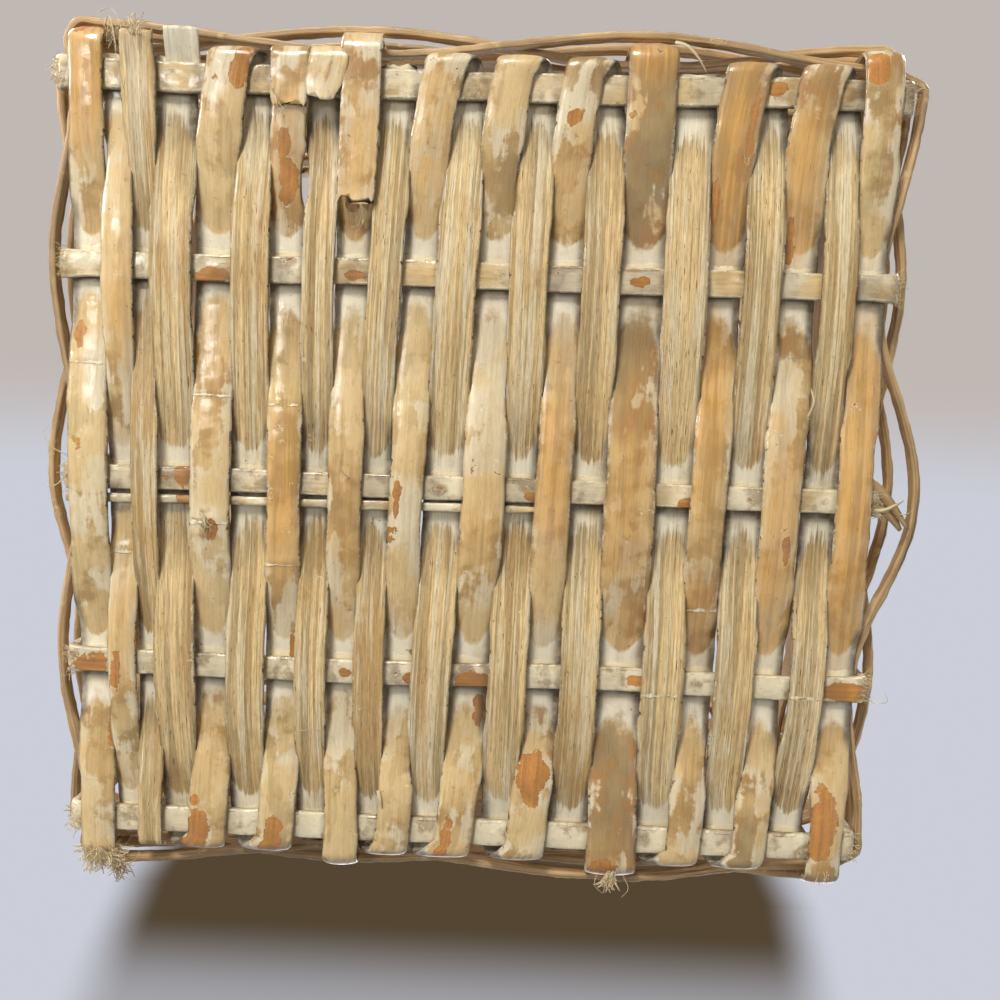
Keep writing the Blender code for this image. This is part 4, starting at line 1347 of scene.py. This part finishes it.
    # The varnish lies smoother than the cane under it, and its grains break the glints up.
    varnish = mottle * 0.8 + chip * 0.6 + speck * 0.65
    net.feed(surface, {
        "Base Color": colour, "Roughness": rough.clamped(),
        "Coat Weight": (skin_part * 0.62 + 0.10) * mottle.ramp(0.66, 0.44), "Coat Roughness": 0.09,
        "Normal": net.bump(height, 0.9, 0.00038), "Coat Normal": net.bump(varnish, 0.36, 0.00030)})
    return material


def splint_finish(name, pale, deep, wash=0.2, gloss=0.0):
    """A riven splint of the walls: long brown fibres, open splits and a little old paint."""
    look = finish()
    material, net, surface = new_material(name)
    fine, fibre, splits, speck, mottle, cloud = noises(
        net, fine=((42.0, 3000.0), 3.0, 0.6, 0.0), fibre=((14.0, 900.0), 2.5, 0.6, 0.0),
        splits=((26.0, 1500.0), 1.5, 0.5, 0.0), speck=(560.0, 4.0, 0.65, 0.0),
        mottle=(120.0, 5.0, 0.6, 0.0), cloud=(30.0, 3.0, 0.55, 0.0))
    washed = (mottle + speck * 0.25).ramp(0.80 - 0.2 * wash, 0.92 - 0.2 * wash, 0.0, 0.8)
    colour = cover(
        fibre.ramp(0.30, 0.70).blend(deep, pale),
        (cloud.ramp(0.38, 0.66, 0.0, 0.55), shade(deep, 0.85)),
        (fine.ramp(0.58, 0.74, 0.0, 0.5), shade(pale, 1.25)),
        (splits.ramp(0.36, 0.28, 0.0, 0.85), look.grime_and_shade),
        (washed, shade(look.cream, 1.02)),
        (speck.ramp(0.66, 0.72, 0.0, 0.45), look.grime_and_shade))
    height = fibre * 0.9 + fine * 0.45 + splits.ramp(0.36, 0.28) * -0.7 + washed * 0.4
    net.feed(surface, {
        "Base Color": colour, "Roughness": speck * 0.35 + (0.50 - 0.15 * gloss),
        "Coat Weight": 0.10 + 0.2 * gloss, "Coat Roughness": 0.25, "Normal": net.bump(height, 0.9, 0.0004)})
    return material


def finish_named(name):
    """The named finish, made the first time that it is asked for."""
    label = "aged_" + name
    look = finish()
    canes = {
        "strip_cane": {"wash": 0.5}, "stake_cane": {"wash": 0.4},
        "lashing_splint": {"wash": 0.2, "tint": 0.82},
        "whitewashed_rod": {
            "wash": 0.9, "chalk_gain": 1.25, "smudge": 0.75, "grain": 0.22, "fog": ROD_FOG}}
    splints = {
        "weaver_splint": (shade(look.splint, 1.58), shade(look.splint, 0.66), 0.45, 0.4),
        "frayed_fibre": (shade(look.chalk, 0.95), shade(look.cream, 0.8), 0.2),
        "rim_hoop": (shade(look.cream, 0.85), shade(look.splint, 0.85), 0.8, 0.5)}
    found = bpy.data.materials.get(label)
    if found:
        return found
    if name in canes:
        return cane_finish(label, **canes[name])
    return splint_finish(label, *splints[name])


# The stage.

CAMERA_PLACE = (0.01311, -0.03461, -0.31861)
STAGE_REACH = 5.0
FLOOR_LEVEL = -0.0014
TABLE_EDGE = CAD_BOX[1].y + 0.0008

# Each lamp's name, place, the height that it is turned to, its size, power and colour, and whether
# it lights the basket alone.
LAMPS = (
    ("window_below", (-0.30, -1.15, -0.78), 0.02, 0.40, 16.0, (1.0, 0.985, 0.96), True),
    ("side_below", (-1.15, -0.40, -0.38), 0.02, 0.25, 6.0, (1.0, 0.975, 0.94), True),
    ("glint_below", (-0.48, -0.30, -0.95), 0.02, 0.18, 2.0, (1.0, 0.99, 0.97), True),
    ("bounce_below", (0.9, 0.0, -1.0), 0.02, 1.2, 1.4, (1.0, 0.99, 0.98), True),
    ("window_left", (-1.3, -1.0, 1.2), 0.1, 0.45, 33.0, (1.0, 0.985, 0.97), False),
    ("window_right", (1.3, -1.0, 1.2), 0.1, 0.45, 33.0, (1.0, 0.985, 0.97), False),
    ("fill_above", (0.2, 1.3, 1.4), 0.1, 1.3, 12.0, (0.97, 0.985, 1.0), False))


def seen_ray(net):
    """Whether a ray shows a surface to the camera: directly, mirrored or through something clear."""
    camera, glossy, through = (net.get("ShaderNodeLightPath", output=word) for word in (
        "Is Camera Ray", "Is Glossy Ray", "Is Transmission Ray"))
    return net.maths("MAXIMUM", net.maths("MAXIMUM", camera, glossy), through)


def backdrop(way):
    """The backdrop's colour: the wall, and on the table's side the table."""
    return way.ramp(0.0, 0.12).blend(finish().wall, finish().table)


def off_shadow(net, x):
    """How far a place lies aside of the shadow's middle."""
    return net.maths("ABSOLUTE", x - 0.002)


def stage_finish(name, colour, share, shown):
    """A matt surface that the camera sees partly as a plain backdrop.

    `share` and `shown` give the backdrop's share and its colour from the net and the place.
    """
    material, net, surface = new_material(name)
    net.feed(surface, {"Base Color": colour, "Roughness": 1.0, "Specular IOR Level": 0.0})
    place = net.get("ShaderNodeTexCoord", output="Object")
    plain = net.get("ShaderNodeEmission", {"Color": shown(net, place)})
    result = net.mixed(seen_ray(net) * share(net, place), Value(net, surface.outputs[0]), plain)
    net.wire(result, net.tree.nodes["Material Output"].inputs[0])
    return material, net, result


def floor_finish(name):
    """The floor, which takes on the backdrop's colours far away and can't be seen from below."""
    def far(net, place):
        return net.get("ShaderNodeVectorMath", {0: place}, output=1, operation="LENGTH")

    material, net, result = stage_finish(
        name, finish().floor, lambda net, place: far(net, place).ramp(0.45, 1.3),
        lambda net, place: backdrop(net.maths("DIVIDE", net.parts(place)[1], far(net, place))))
    below = net.get("ShaderNodeNewGeometry", output="Backfacing")
    clear = net.mixed(below, result, net.get("ShaderNodeBsdfTransparent"))
    net.wire(clear, net.tree.nodes["Material Output"].inputs[0])
    return material


def table_finish(name):
    """The tabletop, which takes on the backdrop's colour and a painted shadow of the basket near its edge.
    """
    def shown(net, place):
        x, _, z = net.parts(place)
        shadow = (off_shadow(net, x) + z * -0.15).ramp(0.119, 0.098) * z.ramp(-0.066, -0.020, 0.46, 1.0)
        return shadow.blend(finish().table, finish().shadow)

    return stage_finish(name, finish().board,
                        lambda net, place: net.parts(place)[2].ramp(-0.24, -0.07, 0.2, 1.0), shown)[0]


def set_world(scene):
    """A dim even light, and for the camera the backdrop with a painted shadow of the basket on it."""
    scene.world = bpy.data.worlds.new("studio")
    scene.world.use_nodes = True
    net = Net(scene.world.node_tree)
    sky = net.tree.nodes["Background"]
    net.feed(sky, {"Color": (1.0, 0.985, 0.96), "Strength": 0.21})
    x, y, z = net.parts(net.get("ShaderNodeTexCoord", output="Generated"))
    # The painted shadow on the table's side goes on behind the basket, where there is no tabletop.
    far = net.maths("DIVIDE", TABLE_EDGE - CAMERA_PLACE[1], net.maths("MAXIMUM", y, 0.01))
    across, above = x * far + CAMERA_PLACE[0], z * far + CAMERA_PLACE[2]
    shadow = (off_shadow(net, across).ramp(0.119, 0.098) * above.ramp(0.30, 0.22)
              * above.ramp(-0.012, -0.006) * y.ramp(0.05, 0.06))
    shown = net.get("ShaderNodeBackground", {"Color": shadow.blend(backdrop(y), finish().shadow)})
    chosen = net.mixed(seen_ray(net), Value(net, sky.outputs[0]), shown)
    net.wire(chosen, net.tree.nodes["World Output"].inputs[0])


def plate(name, corners, material):
    mesh = add_mesh(name, corners, [], [tuple(range(len(corners)))])
    mesh.materials.append(material)
    item = add_object(name, mesh)
    for kind in ("diffuse", "glossy", "transmission", "shadow"):
        setattr(item, "visible_" + kind, False)
    return item


def lamp(name, place, target_height, size, power, colour):
    data = bpy.data.lights.new(name, "AREA")
    data.shape, data.size, data.energy, data.color = "DISK", size, power, colour
    item = add_object(name, data)
    item.location = place
    way = Vector([there - here for there, here in zip((0.0, 0.0, target_height), place)])
    item.rotation_mode = "QUATERNION"
    item.rotation_quaternion = way.to_track_quat("-Z", "Y")
    return item


def set_camera(scene):
    data = bpy.data.cameras.new("camera")
    data.lens, data.sensor_width, data.clip_start, data.clip_end = 36.9, 36.0, 0.01, 20.0
    pitch, roll, yaw = (math.radians(angle) for angle in (7.435, 2.040, 0.649))
    turn = Matrix.Rotation(roll, 3, "Z") @ Matrix.Rotation(yaw, 3, "Y") @ Matrix.Rotation(pitch, 3, "X")
    axes = Matrix((turn[0], -turn[1], -turn[2])).transposed()
    scene.camera = add_object("camera", data)
    scene.camera.matrix_world = Matrix.Translation(CAMERA_PLACE) @ axes.to_4x4()


# The steps.

class BASKET_OT_rods(bpy.types.Operator):
    """Lay the five rods and the splint across the base"""
    bl_idname = "basket.rods"
    bl_label = "Rods"

    def execute(self, context):
        material = finish_named("whitewashed_rod")
        for rod in range(1, 6):
            make_rod(rod, material)
        make_rod_splint(material)
        return {"FINISHED"}


class BASKET_OT_stakes(bpy.types.Operator):
    """Lay the four strips that turn up as stakes of the end walls"""
    bl_idname = "basket.stakes"
    bl_label = "Stakes"

    def execute(self, context):
        for name, number in STAKES.items():
            make_stake(name, number, 100 + 50 * number, finish_named("stake_cane"))
        return {"FINISHED"}


class BASKET_OT_strips(bpy.types.Operator):
    """Lace the strips over and under the rods"""
    bl_idname = "basket.strips"
    bl_label = "Strips"

    def execute(self, context):
        material = finish_named("strip_cane")
        make_filler(material)
        make_folded(material)
        for name, (first, last) in LACINGS.items():
            make_lacing(name, first, last, 2000 + 50 * first, material)
        return {"FINISHED"}


class BASKET_OT_walls(bpy.types.Operator):
    """Weave the rows of splints round the uprights"""
    bl_idname = "basket.walls"
    bl_label = "Walls"

    def execute(self, context):
        tree = rope_tree("woven_splint")
        for row in range(ROW_COUNT):
            make_row(row, tree, finish_named("weaver_splint"))
        return {"FINISHED"}


class BASKET_OT_rim(bpy.types.Operator):
    """Fit the hoops of the rim and wind the lashing round them"""
    bl_idname = "basket.rim"
    bl_label = "Rim"

    def execute(self, context):
        tree = rope_tree("rim_splint")
        for name, side in (("rim_inner_hoop", -1), ("rim_outer_hoop", 1)):
            make_hoop(name, side, tree, finish_named("rim_hoop"))
        material = finish_named("lashing_splint")
        for name, direction, seed in (("rim_lashing_left", -1, 11), ("rim_lashing_right", 1, 12)):
            make_lashing(name, side_wall(), direction, "xzy", ROD_Y, seed, material)
        for name, direction, seed in (("rim_lashing_front", -1, 13), ("rim_lashing_back", 1, 14)):
            places = [float(strip_line(number, direction * end_wall())) for number in STAKES.values()]
            make_lashing(name, end_wall(), direction, "yzx", places, seed, material)
        return {"FINISHED"}


class BASKET_OT_frays(bpy.types.Operator):
    """Add the torn skin, the splinters, and the stray fibres"""
    bl_idname = "basket.frays"
    bl_label = "Frays"

    def execute(self, context):
        material = finish_named("frayed_fibre")
        make_frays(material)
        make_threads("stray_fibres", STRAY_FIBRES, 0.00017, 1.0, material)
        make_threads("splinters", SPLINTERS, 0.0007, 0.35, material)
        make_threads("torn_rod_end", TORN_END, 0.0027, 0.16, finish_named("weaver_splint"))
        make_flaps(finish_named("strip_cane"))
        return {"FINISHED"}


class BASKET_OT_stage(bpy.types.Operator):
    """Set the floor, the table, the lamps and the camera"""
    bl_idname = "basket.stage"
    bl_label = "Stage"

    def execute(self, context):
        context.scene.view_settings.view_transform = "Standard"
        set_world(context.scene)
        reach = STAGE_REACH
        ground = plate("floor", [(x * reach, y * reach, FLOOR_LEVEL) for x, y in (
            (-1, -1), (1, -1), (1, 1), (-1, 1))], floor_finish("pale_floor"))
        table = plate("tabletop", [(x * reach, TABLE_EDGE, z) for x, z in (
            (-1, -0.0018), (-1, -reach), (1, -reach), (1, -0.0018))], table_finish("pale_table"))
        spared = bpy.data.collections.new("not_lit_from_below")
        spared.objects.link(table)
        spared.objects.link(ground)
        for entry in spared.collection_objects:
            entry.light_linking.link_state = "EXCLUDE"
        for *settings, alone in LAMPS:
            item = lamp(*settings)
            if alone:
                item.light_linking.receiver_collection = spared
        set_camera(context.scene)
        return {"FINISHED"}


STEPS = (BASKET_OT_rods, BASKET_OT_stakes, BASKET_OT_strips, BASKET_OT_walls, BASKET_OT_rim,
         BASKET_OT_frays, BASKET_OT_stage)


class BASKET_PT_panel(bpy.types.Panel):
    """Lists the steps and the sizes of the basket"""
    bl_label = "Wicker storage basket"
    bl_idname = "BASKET_PT_panel"
    bl_space_type = "VIEW_3D"
    bl_region_type = "UI"
    bl_category = "Basket"

    def draw(self, context):
        for step in STEPS:
            self.layout.operator(step.bl_idname)
        for group in (cane(), finish()):
            box = self.layout.box()
            for word in group.__annotations__:
                box.prop(group, word)


CLASSES = (BasketCane, BasketFinish, *STEPS, BASKET_PT_panel)


def register():
    for item in CLASSES:
        bpy.utils.register_class(item)
    bpy.types.Scene.basket_cane = bpy.props.PointerProperty(type=BasketCane)
    bpy.types.Scene.basket_finish = bpy.props.PointerProperty(type=BasketFinish)


def unregister():
    del bpy.types.Scene.basket_cane
    del bpy.types.Scene.basket_finish
    for item in reversed(CLASSES):
        bpy.utils.unregister_class(item)


def main():
    register()
    bpy.ops.basket.rods()
    bpy.ops.basket.stakes()
    bpy.ops.basket.strips()
    bpy.ops.basket.walls()
    bpy.ops.basket.rim()
    bpy.ops.basket.frays()
    bpy.ops.basket.stage()


if __name__ == "__main__":
    main()
